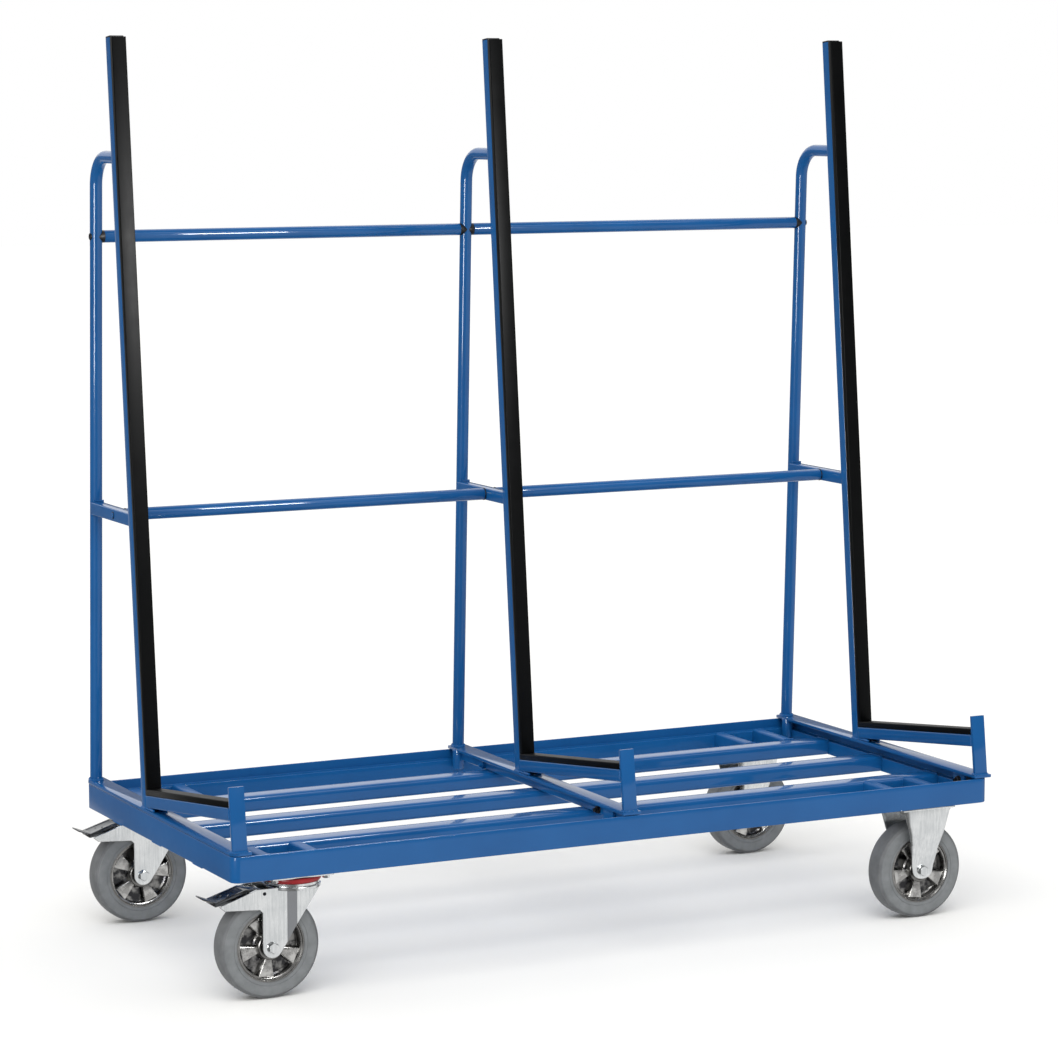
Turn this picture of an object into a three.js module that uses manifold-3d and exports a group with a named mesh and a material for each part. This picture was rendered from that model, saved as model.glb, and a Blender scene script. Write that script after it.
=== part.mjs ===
// Sheet-goods cart: floor frame on casters, three leaning supports with rubber faces, tie rails.
// Millimetres. +X along the frame to the fixed casters, -Y towards the loading side, +Z up.
import * as THREE from 'three';
import { mergeVertices } from 'three/addons/utils/BufferGeometryUtils.js';
import Module from 'manifold-3d';

const wasm = await Module();
wasm.setup();

// Wheels
const wheelRadius = 100;
const wheelWidth = 50;
const tyreDepth = 30;
const tyreBead = 4;
const tyreBeadInset = 1.5;
const tyreBulge = 15;
const tyreShoulderDrop = 7.5;
const tyreShoulderInset = 1.5;
const tyreEdgeDrop = 2.5;
const tyreEdgeInset = 5;
const treadInset = 12.5;
const rimWall = 8;
const rimEdgeInset = 3;
const webThick = 8;
const hubRadius = 27;
const spokeCount = 5;
const spokeAngle = 29;
const spokeInset = 9;
const axleRadius = 6;
const axleHeadRadius = 10;
const axleHeadHeight = 7;
const spacerRadius = 11;

// Casters
const forkGap = 4;
const forkSheet = 4;
const bossRadius = 20;
const crownGap = 8;
const crownThick = 6;
const crownRadius = 54;
const cheekReach = 43;
const cheekEdge = 8;
const wingReach = 107;
const wingShoulder = 31;
const wingTipDrop = 26;
const wingTipHeight = 9;
const wingTipCut = 11;
const wingDepth = 39.5;
const wingCorner = 6;
const swivelTrail = 54;
const raceHeight = 7.7;
const raceInset = 2;
const ringHeight = 9;
const ringWidth = 15;
const ringOverhang = 1;
const kingpinRadius = 12;
const kingpinNutOverhang = 3;
const kingpinNutHeight = 4;
const plateLength = 135;
const plateWidth = 110;
const plateThick = 4;
const headPlateWidth = 100;
const boltSpanX = 105;
const boltSpanY = 80;
const boltHeadRadius = 8;
const boltHeadHeight = 6;
const casterSetback = 143;
const casterInset = 57;
const fixedForkTop = 55.6;
const fixedForkWaist = 34.5;
const fixedWaistRise = 56;
const fixedEndHalf = 23.6;
const fixedEndDrop = 17;
const fixedBendRise = 11;
const fixedKneeRise = 80;
const fixedKneeInset = 4.7;

// Brake pedals, measured from the pedal's pivot
const pivotDrop = 9.3;
const pivotBack = 16;
const pivotRadius = 3.5;
const pedalEye = 4.8;
const pedalBarBack = 7;
const pedalReach = 118;
const pedalTipDrop = 1;
const pedalTabWidth = 38;
const pedalCrestBack = 34;
const pedalCrestRise = 9;
const pedalBodyReach = 95;
const pedalEndDrop = 10;
const pedalBodyDrop = 18;
const pedalSheet = 2.5;
const pedalSideGap = 6;

// Floor frame
const frameLength = 1680;
const frameWidth = 800;
const frameCorner = 18;
const railHeight = 50;
const railWidth = 20;
const railSheet = 3;
const lipThick = 5;
const lipRise = 20;
const beamWidth = 50;
const beamHeight = 33;
const beamSpacing = 218;
const beamCorner = 8;
const beamWall = 3;
const crossBarWidth = 25;
const crossBarOffset = 49;
const memberWidth = 28;
const memberLead = 8;
const memberWall = 3;

// Supports
const supportInset = 16;
const baseBarWidth = 40;
const baseBarThick = 8;
const baseBarShift = 3;
const frontLugThick = 6;
const frontLugWidth = 40;
const frontLugInset = 70;
const frontLugDrop = 40;
const rearLugThick = 8;
const rearLugWidth = 27;
const rearLugInset = 42;
const rearLugDrop = 45;
const leanAngle = 5.7;
const leanFoot = 54.7;
const postRise = 1519;
const postWidth = 30;
const postDepth = 25;
const postCorner = 3;
const postWall = 2;
const toeRise = 35.3;
const toeTilt = 1.5;
const stopThick = 8;
const stopSetback = 2;
const stopRise = 129;
const rubberThick = 12;
const rubberBevel = 1.5;
const capThick = 3;
const capPlug = 12;
const tubeRadius = 12.5;
const tubeWall = 2;
const rearLean = 2.2;
const rearInset = 16;
const bendRadius = 60;
const topRunRise = 1283;
const spreaderRise = 572;
const spreaderSize = 25;
const spreaderWall = 2;
const upperRailRise = 1123;
const midRailInset = 170;
const saddleRadius = 12.5;
const saddleLength = 3;

// Clearances and facets
const seatGap = 0.3;
const runGap = 0.1;
const pressGap = 0.05;
const weldGap = 0.3;
const overlap = 1;
const tyreFacets = 24;
const rimFacets = 24;
const discFacets = 24;
const pinFacets = 8;
const pivotFacets = 16;
const tubeFacets = 16;
const bendSteps = 6;
const cornerFacets = 2;
const frameCornerFacets = 4;
const bossFacets = 10;
const hexFacets = 6;
const mergeTolerance = 1e-4;

// Heights and places that follow from the sizes above
const rad = THREE.MathUtils.degToRad;
const leanTan = Math.tan(rad(leanAngle));
const leanCos = Math.cos(rad(leanAngle));
const toeAngle = leanAngle + toeTilt;
const toeTan = Math.tan(rad(toeAngle));
const toeCos = Math.cos(rad(toeAngle));
const rearTan = Math.tan(rad(rearLean));
const wheelTop = 2 * wheelRadius;
const crownBottom = wheelTop + crownGap;
const crownTop = crownBottom + crownThick;
const ringBottom = crownTop + raceHeight;
const ringTop = ringBottom + ringHeight;
const plateBottom = ringTop + seatGap;
const frameBottom = plateBottom + plateThick;
const frameTop = frameBottom + railHeight;
const barTop = frameTop + baseBarThick;
const beamTop = frameBottom + beamHeight;
const halfLength = frameLength / 2;
const halfWidth = frameWidth / 2;
const casterOffsetX = halfLength - casterSetback;
const casterY = halfWidth - casterInset;
const wheelHalf = wheelWidth / 2;
const forkInner = wheelHalf + forkGap;
const forkOuter = forkInner + forkSheet;
const rimRadius = wheelRadius - tyreDepth;
const supportPlaces = { left: supportInset - halfLength, middle: 0, right: halfLength - supportInset };
const toeOriginY = leanFoot + toeRise * leanTan;
const toeOriginZ = frameTop + toeRise;
const stopFront = toeCos * (toeOriginY + toeTan * (barTop - toeOriginZ) + halfWidth - stopSetback);
const toeLength = stopFront - stopThick;
const rearAxisY = (z) => halfWidth - rearInset - (z - frameTop) * rearTan;

// Paints and materials
const finish = (color, roughness, metalness) => (
  new THREE.MeshStandardMaterial({ color, roughness, metalness })
);
const bluePaint = finish(0x1f5fb0, 0.35, 0.1);
const zinc = finish(0xc9cccd, 0.35, 0.9);
const blackRubber = finish(0x26272a, 0.8, 0);
const blackPlastic = finish(0x1c1c1e, 0.5, 0);
const redPlastic = finish(0xb01f2b, 0.45, 0);
const greyTyre = finish(0x7d8184, 0.75, 0);
const castRim = finish(0xb9b7b0, 0.4, 0.85);

// Outlines
const v2 = (x, y) => new THREE.Vector2(x, y);
const arcPoints = (cx, cy, radius, from, to, facets) => {
  const points = [];
  for (let i = 0; i <= facets; i += 1) {
    const a = from + ((to - from) * i) / facets;
    points.push(v2(cx + radius * Math.cos(a), cy + radius * Math.sin(a)));
  }
  return points;
};
const fullTurn = 2 * Math.PI;
const circlePoints = (cx, cy, radius, facets) => arcPoints(cx, cy, radius, 0, fullTurn, facets).slice(0, -1);
const rectPoints = (x0, y0, x1, y1) => [v2(x0, y0), v2(x1, y0), v2(x1, y1), v2(x0, y1)];
const roundedPoints = (x0, y0, x1, y1, radius, facets = cornerFacets) => [
  ...arcPoints(x1 - radius, y0 + radius, radius, -Math.PI / 2, 0, facets),
  ...arcPoints(x1 - radius, y1 - radius, radius, 0, Math.PI / 2, facets),
  ...arcPoints(x0 + radius, y1 - radius, radius, Math.PI / 2, Math.PI, facets),
  ...arcPoints(x0 + radius, y0 + radius, radius, Math.PI, 1.5 * Math.PI, facets),
];
const outline = (points, ...holes) => {
  const shape = new THREE.Shape(points);
  for (const hole of holes) {
    shape.holes.push(new THREE.Path(hole));
  }
  return shape;
};
const tubeOutline = (x0, y0, x1, y1, corner, wall) => outline(
  roundedPoints(x0, y0, x1, y1, corner),
  roundedPoints(x0 + wall, y0 + wall, x1 - wall, y1 - wall, Math.max(corner - wall, wall / 2)),
);
const pipeOutline = (cx, cy) => outline(
  circlePoints(cx, cy, tubeRadius, tubeFacets),
  circlePoints(cx, cy, tubeRadius - tubeWall, tubeFacets),
);

// Straight bodies: an outline drawn across one axis and drawn out along it
const axisX = new THREE.Vector3(1, 0, 0);
const axisY = new THREE.Vector3(0, 1, 0);
const axisZ = new THREE.Vector3(0, 0, 1);
const drawn = (shape, depth) => new THREE.ExtrudeGeometry(shape, { depth, bevelEnabled: false });
const alongX = (shape, x0, x1) => {
  const turn = new THREE.Matrix4().makeBasis(axisY, axisZ, axisX).setPosition(x0, 0, 0);
  return drawn(shape, x1 - x0).applyMatrix4(turn);
};
const alongY = (shape, y0, y1) => {
  const turn = new THREE.Matrix4().makeBasis(axisX, axisZ, axisY.clone().negate()).setPosition(0, y1, 0);
  return drawn(shape, y1 - y0).applyMatrix4(turn);
};
const alongZ = (shape, z0, z1) => drawn(shape, z1 - z0).translate(0, 0, z0);
const block = (x0, x1, y0, y1, z0, z1) => alongZ(outline(rectPoints(x0, y0, x1, y1)), z0, z1);

// Joining and cutting
const solid = (geometry) => {
  const bare = geometry.clone();
  bare.deleteAttribute('normal');
  bare.deleteAttribute('uv');
  const merged = mergeVertices(bare, mergeTolerance);
  return new wasm.Manifold(new wasm.Mesh({
    numProp: 3,
    vertProperties: new Float32Array(merged.attributes.position.array),
    triVerts: new Uint32Array(merged.index.array),
  }));
};
const surface = (body) => {
  const mesh = body.getMesh();
  const geometry = new THREE.BufferGeometry();
  geometry.setAttribute('position', new THREE.BufferAttribute(mesh.vertProperties.slice(), 3));
  geometry.setIndex(new THREE.BufferAttribute(mesh.triVerts.slice(), 1));
  const flat = geometry.toNonIndexed();
  flat.computeVertexNormals();
  return flat;
};
const joined = (...geometries) => surface(geometries.map(solid).reduce((a, b) => a.add(b)));
const cut = (geometry, ...tools) => (
  surface(tools.map(solid).reduce((a, b) => a.subtract(b), solid(geometry)))
);
const common = (a, b) => surface(solid(a).intersect(solid(b)));

const group = new THREE.Group();
const place = (name, geometry, material) => {
  const mesh = new THREE.Mesh(geometry, material);
  mesh.name = name;
  group.add(mesh);
};

// Edge rails: one rounded ring of stepped channel, parted at the mitres
const ringOutline = (inset, corner) => roundedPoints(
  inset - halfLength, inset - halfWidth, halfLength - inset, halfWidth - inset, corner, frameCornerFacets);
const innerCorner = (inset) => Math.max(frameCorner - inset, railSheet);
const band = (from, to, z0, z1) => alongZ(
  outline(ringOutline(from, innerCorner(from)), ringOutline(to, innerCorner(to))), z0, z1);
const channelTop = frameTop - lipRise - railSheet;
const railRing = cut(
  band(0, railWidth, frameBottom, frameTop),
  band(lipThick, railWidth + overlap, frameTop - lipRise, frameTop + overlap),
  band(railSheet, railWidth - railSheet, frameBottom - overlap, channelTop),
);
const mitre = weldGap / Math.SQRT2;
const reach = halfWidth + overlap;
const lengthwise = halfLength - halfWidth;
const wedge = (points) => alongZ(outline(points), frameBottom - overlap, frameTop + overlap);
const longWedge = (side) => wedge([
  v2(side * (lengthwise + reach - mitre), -side * reach),
  v2(side * (lengthwise - mitre), 0),
  v2(-side * (lengthwise - mitre), 0),
  v2(-side * (lengthwise + reach - mitre), -side * reach),
].reverse());
const endWedge = (side) => wedge([
  v2(side * (lengthwise + mitre), 0),
  v2(side * (lengthwise + mitre + reach), -side * reach),
  v2(side * (lengthwise + mitre + reach), side * reach),
]);
place('front_rail', common(railRing, longWedge(1)), bluePaint);
place('rear_rail', common(railRing, longWedge(-1)), bluePaint);
place('left_rail', common(railRing, endWedge(-1)), bluePaint);
place('right_rail', common(railRing, endWedge(1)), bluePaint);

// Deck beams, the outer two with the short cross-bars over the casters
const beamEnd = halfLength - railWidth;
const deckTube = (centre, width) => tubeOutline(
  centre - width / 2, frameBottom, centre + width / 2, beamTop, beamCorner, beamWall);
const beam = (centre) => alongX(deckTube(centre, beamWidth), -beamEnd, beamEnd);
const beamFace = beamSpacing + beamWidth / 2;
const crossBars = (side) => {
  const bars = [];
  for (const casterX of [-casterOffsetX, casterOffsetX]) {
    for (const step of [-crossBarOffset, crossBarOffset]) {
      const near = side * (beamFace - beamWall / 2);
      const far = side * (halfWidth - railWidth);
      bars.push(alongY(deckTube(casterX + step, crossBarWidth), Math.min(near, far), Math.max(near, far)));
    }
  }
  return bars;
};
place('front_deck_beam', joined(beam(-beamSpacing), ...crossBars(-1)), bluePaint);
place('rear_deck_beam', joined(beam(beamSpacing), ...crossBars(1)), bluePaint);
place('centre_deck_beam', beam(0), bluePaint);
place('mid_cross_member', alongY(
  tubeOutline(-memberLead, beamTop, memberWidth - memberLead, frameTop, memberWall, memberWall),
  lipThick - halfWidth, halfWidth - lipThick), bluePaint);

// Leaning parts: drawn upright with the toe's heel at the origin, then leaned back and set on the frame.
// The toe and its stop tip up a little more than the post leans.
const tilt = (geometry, angle) => geometry.clone().rotateX(-rad(angle)).translate(0, toeOriginY, toeOriginZ);
const lean = (geometry) => tilt(geometry, leanAngle);
const tip = (geometry) => tilt(geometry, toeAngle);
const postLength = (postRise - toeRise) / leanCos;
const footLength = (toeOriginZ - barTop) / leanCos + postDepth * leanTan;
const above = (x, floor) => (
  block(x - postRise, x + postRise, -postRise, postRise, floor, floor + 2 * postRise)
);
const leanPost = (x) => common(
  lean(alongZ(
    tubeOutline(x - postWidth / 2, 0, x + postWidth / 2, postDepth, postCorner, postWall),
    -footLength, postLength)),
  above(x, barTop + weldGap));
const topCap = (x) => {
  const plugInset = postWall + seatGap;
  const section = (inset) => outline(roundedPoints(
    x - postWidth / 2 + inset, inset, x + postWidth / 2 - inset, postDepth - inset, postCorner));
  return lean(joined(
    alongZ(section(0), postLength + seatGap, postLength + seatGap + capThick),
    alongZ(section(plugInset), postLength - capPlug, postLength + seatGap + overlap)));
};
const toeBar = (x) => tip(alongY(
  tubeOutline(x - postWidth / 2, -postDepth, x + postWidth / 2, 0, postCorner, postWall),
  weldGap - toeLength, -weldGap));
const rubberOutline = (x, base, face) => {
  const inward = Math.sign(face - base);
  const points = [
    v2(x - postWidth / 2, base),
    v2(x + postWidth / 2, base),
    v2(x + postWidth / 2, face - inward * rubberBevel),
    v2(x + postWidth / 2 - rubberBevel, face),
    v2(x - postWidth / 2 + rubberBevel, face),
    v2(x - postWidth / 2, face - inward * rubberBevel),
  ];
  return outline(inward > 0 ? points : points.reverse());
};
const heelRelief = seatGap + rubberThick * Math.tan(rad(toeTilt));
const toeRubber = (x) => {
  const strip = alongY(rubberOutline(x, seatGap, rubberThick), seatGap - toeLength, -heelRelief);
  const postSeat = block(
    x - postWidth, x + postWidth, -rubberThick - heelRelief, overlap,
    rubberThick - seatGap, 2 * rubberThick);
  return tip(cut(strip, postSeat));
};
const postRubber = (x) => lean(alongZ(
  rubberOutline(x, -seatGap, -rubberThick), rubberThick + heelRelief, postLength));

// Base bar with its stop plate and lugs
const baseBar = (x, side) => {
  const low = x + baseBarShift - baseBarWidth / 2;
  const high = low + baseBarWidth;
  const plan = side < 0
    ? [
      ...arcPoints(low + frameCorner, frameCorner - halfWidth, frameCorner, Math.PI, 1.5 * Math.PI,
        frameCornerFacets),
      v2(high, -halfWidth),
      v2(high, halfWidth),
      ...arcPoints(low + frameCorner, halfWidth - frameCorner, frameCorner, Math.PI / 2, Math.PI,
        frameCornerFacets),
    ]
    : rectPoints(low, -halfWidth, high, halfWidth);
  const stop = common(
    tip(block(x - postWidth / 2, x + postWidth / 2, -stopFront, -toeLength, -stopRise, stopRise)),
    block(low - overlap, high + overlap, -2 * halfWidth, 0, barTop - overlap, frameTop + stopRise));
  const lugFace = side === 0 ? memberLead + seatGap : beamEnd - seatGap;
  const lug = (thick, centre, width, drop) => {
    const outer = side > 0 ? lugFace : -lugFace;
    const inner = side < 0 ? outer + thick : outer - thick;
    return block(
      Math.min(outer, inner), Math.max(outer, inner), centre - width / 2, centre + width / 2,
      frameTop - drop, frameTop + overlap);
  };
  return joined(
    alongZ(outline(plan), frameTop, barTop),
    stop,
    lug(frontLugThick, frontLugInset - halfWidth, frontLugWidth, frontLugDrop),
    lug(rearLugThick, halfWidth - rearLugInset, rearLugWidth, rearLugDrop));
};

// Rear post: a pipe swept up, round the bend and forward to the lean post
class Stations extends THREE.Curve {
  constructor(points, tangents) {
    super();
    this.points = points;
    this.tangents = tangents;
  }

  getPointAt(u) {
    return this.points[Math.round(u * (this.points.length - 1))].clone();
  }

  getTangentAt(u) {
    return this.tangents[Math.round(u * (this.points.length - 1))].clone();
  }
}
const rearPath = (x) => {
  const topZ = frameTop + topRunRise;
  const turn = Math.PI / 2 - rad(rearLean);
  const trim = bendRadius * Math.tan(turn / 2);
  const up = new THREE.Vector3(0, -Math.sin(rad(rearLean)), Math.cos(rad(rearLean)));
  const corner = new THREE.Vector3(x, rearAxisY(topZ), topZ);
  const points = [new THREE.Vector3(x, rearAxisY(frameTop), frameTop)];
  const tangents = [up];
  const start = corner.clone().addScaledVector(up, -trim);
  const hub = start.clone().add(new THREE.Vector3(0, -up.z, up.y).multiplyScalar(bendRadius));
  for (let i = 0; i <= bendSteps; i += 1) {
    const a = (turn * i) / bendSteps;
    const spoke = start.clone().sub(hub).applyAxisAngle(axisX, a);
    points.push(hub.clone().add(spoke));
    tangents.push(up.clone().applyAxisAngle(axisX, a));
  }
  points.push(new THREE.Vector3(x, leanFoot, topZ));
  tangents.push(new THREE.Vector3(0, -1, 0));
  return new Stations(points, tangents);
};
const swept = (shape, path) => new THREE.ExtrudeGeometry(
  shape, { steps: path.points.length - 1, extrudePath: path, bevelEnabled: false });
const behindPost = (x) => lean(block(
  x - postRise, x + postRise, postDepth + weldGap, postRise, -postRise, 2 * postRise));
const rearPost = (x) => {
  const path = rearPath(x);
  const core = swept(outline(circlePoints(0, 0, tubeRadius - tubeWall / 2, tubeFacets)), path);
  const spreaderZ = frameTop + spreaderRise;
  const half = spreaderSize / 2;
  const spreader = cut(
    alongY(
      tubeOutline(x - half, spreaderZ - half, x + half, spreaderZ + half, spreaderWall, spreaderWall),
      leanFoot, rearAxisY(spreaderZ)),
    core);
  const pipe = swept(pipeOutline(0, 0), path);
  const whole = common(joined(pipe, spreader), behindPost(x));
  return common(whole, above(x, barTop + weldGap));
};

const sideOf = { left: -1, middle: 0, right: 1 };
for (const [name, x] of Object.entries(supportPlaces)) {
  place(`${name}_base_bar`, baseBar(x, sideOf[name]), bluePaint);
  place(`${name}_rear_post`, rearPost(x), bluePaint);
  place(`${name}_lean_post`, leanPost(x), bluePaint);
  place(`${name}_toe_bar`, toeBar(x), bluePaint);
  place(`${name}_post_rubber`, postRubber(x), blackRubber);
  place(`${name}_toe_rubber`, toeRubber(x), blackRubber);
  place(`${name}_top_cap`, topCap(x), blackPlastic);
}

// Tie rails between neighbouring supports, the upper ones seated on saddles
const upperZ = frameTop + upperRailRise;
const upperY = rearAxisY(upperZ);
const midZ = frameTop + spreaderRise;
const midY = halfWidth - midRailInset;
const saddle = (x, towards) => {
  const end = x + towards * (tubeRadius + seatGap + saddleLength);
  const post = outline(circlePoints(0, 0, tubeRadius + seatGap, tubeFacets));
  const collar = outline(circlePoints(upperY, upperZ, saddleRadius, tubeFacets));
  return cut(alongX(collar, Math.min(x, end), Math.max(x, end)), swept(post, rearPath(x)));
};
const spans = [['left', 'middle'], ['middle', 'right']];
for (const [from, to] of spans) {
  const x0 = supportPlaces[from];
  const x1 = supportPlaces[to];
  const upperEnd = tubeRadius + seatGap + saddleLength;
  const midEnd = spreaderSize / 2 + seatGap;
  place(`${from}_upper_rail`, alongX(pipeOutline(upperY, upperZ), x0 + upperEnd, x1 - upperEnd), bluePaint);
  place(`${from}_mid_rail`, alongX(pipeOutline(midY, midZ), x0 + midEnd, x1 - midEnd), bluePaint);
  place(`${from}_${to}_saddle`, saddle(x0, 1), blackPlastic);
  place(`${to}_${from}_saddle`, saddle(x1, -1), blackPlastic);
}

// Wheels, made at the origin with the axle along Y
const loop = (half) => [...half, ...half.map((p) => v2(p.x, -p.y)).reverse()];
const turned = (points, facets) => new THREE.LatheGeometry(points, facets);
const closed = (points) => [...points, points[0].clone()];
const tyre = () => {
  const half = [
    v2(rimRadius + seatGap, -wheelHalf + rimEdgeInset + seatGap),
    v2(rimRadius + tyreBead, -wheelHalf + tyreBeadInset),
    v2(rimRadius + tyreBulge, -wheelHalf),
    v2(wheelRadius - tyreShoulderDrop, -wheelHalf + tyreShoulderInset),
    v2(wheelRadius - tyreEdgeDrop, -wheelHalf + tyreEdgeInset),
    v2(wheelRadius, -wheelHalf + treadInset),
  ];
  return turned(closed(loop(half)), tyreFacets);
};
const rim = () => {
  const bore = axleRadius + runGap;
  const edge = wheelHalf - rimEdgeInset;
  const half = [
    v2(bore, -wheelHalf),
    v2(hubRadius, -wheelHalf),
    v2(hubRadius, -webThick / 2),
    v2(rimRadius - rimWall, -webThick / 2),
    v2(rimRadius - rimWall, -edge),
    v2(rimRadius, -edge),
  ];
  const body = turned(closed(loop(half)), rimFacets);
  const spokes = [];
  for (let i = 0; i < spokeCount; i += 1) {
    const a = (2 * Math.PI * i) / spokeCount - Math.PI / 2;
    const spread = rad(spokeAngle) / 2;
    const inner = hubRadius - overlap;
    const outer = rimRadius - rimWall + overlap;
    const points = [
      v2(inner * Math.cos(a - spread), inner * Math.sin(a - spread)),
      v2(outer * Math.cos(a - spread), outer * Math.sin(a - spread)),
      v2(outer * Math.cos(a + spread), outer * Math.sin(a + spread)),
      v2(inner * Math.cos(a + spread), inner * Math.sin(a + spread)),
    ];
    spokes.push(alongY(outline(points), spokeInset - wheelHalf, wheelHalf - spokeInset));
  }
  return joined(body, ...spokes);
};
const axle = () => {
  const half = [
    v2(0, -forkOuter - seatGap - axleHeadHeight),
    v2(axleHeadRadius, -forkOuter - seatGap - axleHeadHeight),
    v2(axleHeadRadius, -forkOuter - seatGap),
    v2(axleRadius, -forkOuter - seatGap),
    v2(axleRadius, -forkInner + seatGap),
    v2(spacerRadius, -forkInner + seatGap),
    v2(spacerRadius, -wheelHalf - seatGap),
    v2(axleRadius, -wheelHalf - seatGap),
  ];
  return turned(loop(half), pinFacets);
};

// Fork cheek outlines, from the axle: a round boss with a straight edge up to each shoulder
const bossArc = (right) => {
  const to = right.angle() - Math.acos(bossRadius / right.length()) + 2 * Math.PI;
  return arcPoints(0, 0, bossRadius, Math.PI, to, bossFacets);
};
const axleHole = () => circlePoints(0, 0, axleRadius + pressGap, pinFacets);
const mountBolts = (cx, cy) => {
  const heads = [];
  for (const sx of [-1, 1]) {
    for (const sy of [-1, 1]) {
      const x = cx + (sx * boltSpanX) / 2;
      const y = cy + (sy * boltSpanY) / 2;
      const head = circlePoints(x, y, boltHeadRadius, hexFacets);
      heads.push(alongZ(outline(head), plateBottom - boltHeadHeight, plateBottom + overlap));
    }
  }
  return heads;
};
const topPlate = (cx, cy, width) => (
  block(-plateLength / 2, plateLength / 2, -width / 2, width / 2, plateBottom, frameBottom)
    .translate(cx, cy, 0)
);
const disc = (cx, cy, radius, z0, z1) => alongZ(outline(circlePoints(cx, cy, radius, discFacets)), z0, z1);

const swivelFork = (cx, cy) => {
  const axleX = cx - swivelTrail;
  const topZ = crownTop - wheelRadius;
  const cheekX = swivelTrail + cheekReach;
  const cheekZ = topZ - cheekEdge;
  const edge = [
    ...bossArc(v2(cheekX, cheekZ)),
    v2(cheekX, cheekZ),
    v2(cheekX, topZ),
    v2(-wingShoulder, topZ),
    v2(-wingReach, topZ - wingTipDrop),
    v2(-wingReach + wingTipCut, topZ - wingTipDrop - wingTipHeight),
    v2(-bossRadius - wingCorner, topZ - wingDepth),
    v2(-bossRadius, topZ - wingDepth - wingCorner),
  ];
  const cheek = (y0) => (
    alongY(outline(edge, axleHole()), y0, y0 + forkSheet).translate(axleX, cy, wheelRadius)
  );
  const pinZ = crownTop - pivotDrop;
  const pin = alongY(
    outline(circlePoints(axleX - pivotBack, pinZ, pivotRadius, pivotFacets)),
    cy - forkInner - overlap, cy + forkInner + overlap);
  const web = block(
    cx - crownRadius + overlap, cx + cheekReach, cy - forkInner - overlap, cy + forkInner + overlap,
    crownBottom, crownTop);
  return cut(
    joined(disc(cx, cy, crownRadius, crownBottom, crownTop), web, cheek(-forkOuter), cheek(forkInner), pin),
    disc(cx, cy, kingpinRadius + seatGap, crownBottom - overlap, crownTop + overlap));
};
const swivelHead = (cx, cy) => {
  const nutTop = crownBottom - seatGap;
  const nutBottom = nutTop - kingpinNutHeight;
  const raceBottom = crownTop + seatGap;
  const neckRadius = crownRadius + ringOverhang - ringWidth - seatGap;
  return joined(
    topPlate(cx, cy, headPlateWidth),
    disc(cx, cy, neckRadius, raceBottom, plateBottom + overlap),
    disc(cx, cy, crownRadius - raceInset, raceBottom, ringBottom - seatGap),
    disc(cx, cy, kingpinRadius, nutBottom, plateBottom + overlap),
    disc(cx, cy, kingpinRadius + kingpinNutOverhang, nutBottom, nutTop),
    ...mountBolts(cx, cy));
};
const dustRing = (cx, cy) => alongZ(
  outline(
    circlePoints(cx, cy, crownRadius + ringOverhang, discFacets),
    circlePoints(cx, cy, crownRadius + ringOverhang - ringWidth, discFacets)),
  ringBottom, ringTop);
const brakePedal = (cx, cy) => {
  const half = forkInner - pedalSideGap;
  const slope = (pedalCrestRise + pedalEndDrop) / (pedalBodyReach - pedalCrestBack);
  const topZ = (x) => (x + pedalBodyReach) * slope - pedalEndDrop;
  const edge = [
    v2(-pedalBodyReach, -pedalBodyDrop),
    ...arcPoints(0, 0, pedalEye, -Math.PI / 2, Math.PI / 2, bossFacets),
    v2(-pedalCrestBack, pedalCrestRise),
    v2(-pedalBodyReach, -pedalEndDrop),
  ];
  const back = -pedalBodyReach + pedalSheet;
  const front = -pedalBarBack;
  const hollow = [
    v2(back, -2 * pedalBodyDrop),
    v2(front, -2 * pedalBodyDrop),
    v2(front, pedalEye - pedalSheet),
    v2(-pedalCrestBack, pedalCrestRise - pedalSheet - overlap),
    v2(back, topZ(back) - pedalSheet - overlap),
  ];
  const tab = [
    v2(-pedalReach, -pedalTipDrop - pedalSheet),
    v2(-pedalBodyReach + overlap, -pedalEndDrop - pedalSheet),
    v2(-pedalBodyReach + overlap, -pedalEndDrop),
    v2(-pedalReach, -pedalTipDrop),
  ];
  const hole = circlePoints(0, 0, pivotRadius + runGap, pivotFacets);
  const channel = cut(
    alongY(outline(edge, hole), -half, half),
    alongY(outline(hollow), pedalSheet - half, half - pedalSheet));
  const shell = joined(channel, alongY(outline(tab), -pedalTabWidth / 2, pedalTabWidth / 2));
  return shell.translate(cx - swivelTrail - pivotBack, cy, crownTop - pivotDrop);
};

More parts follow.
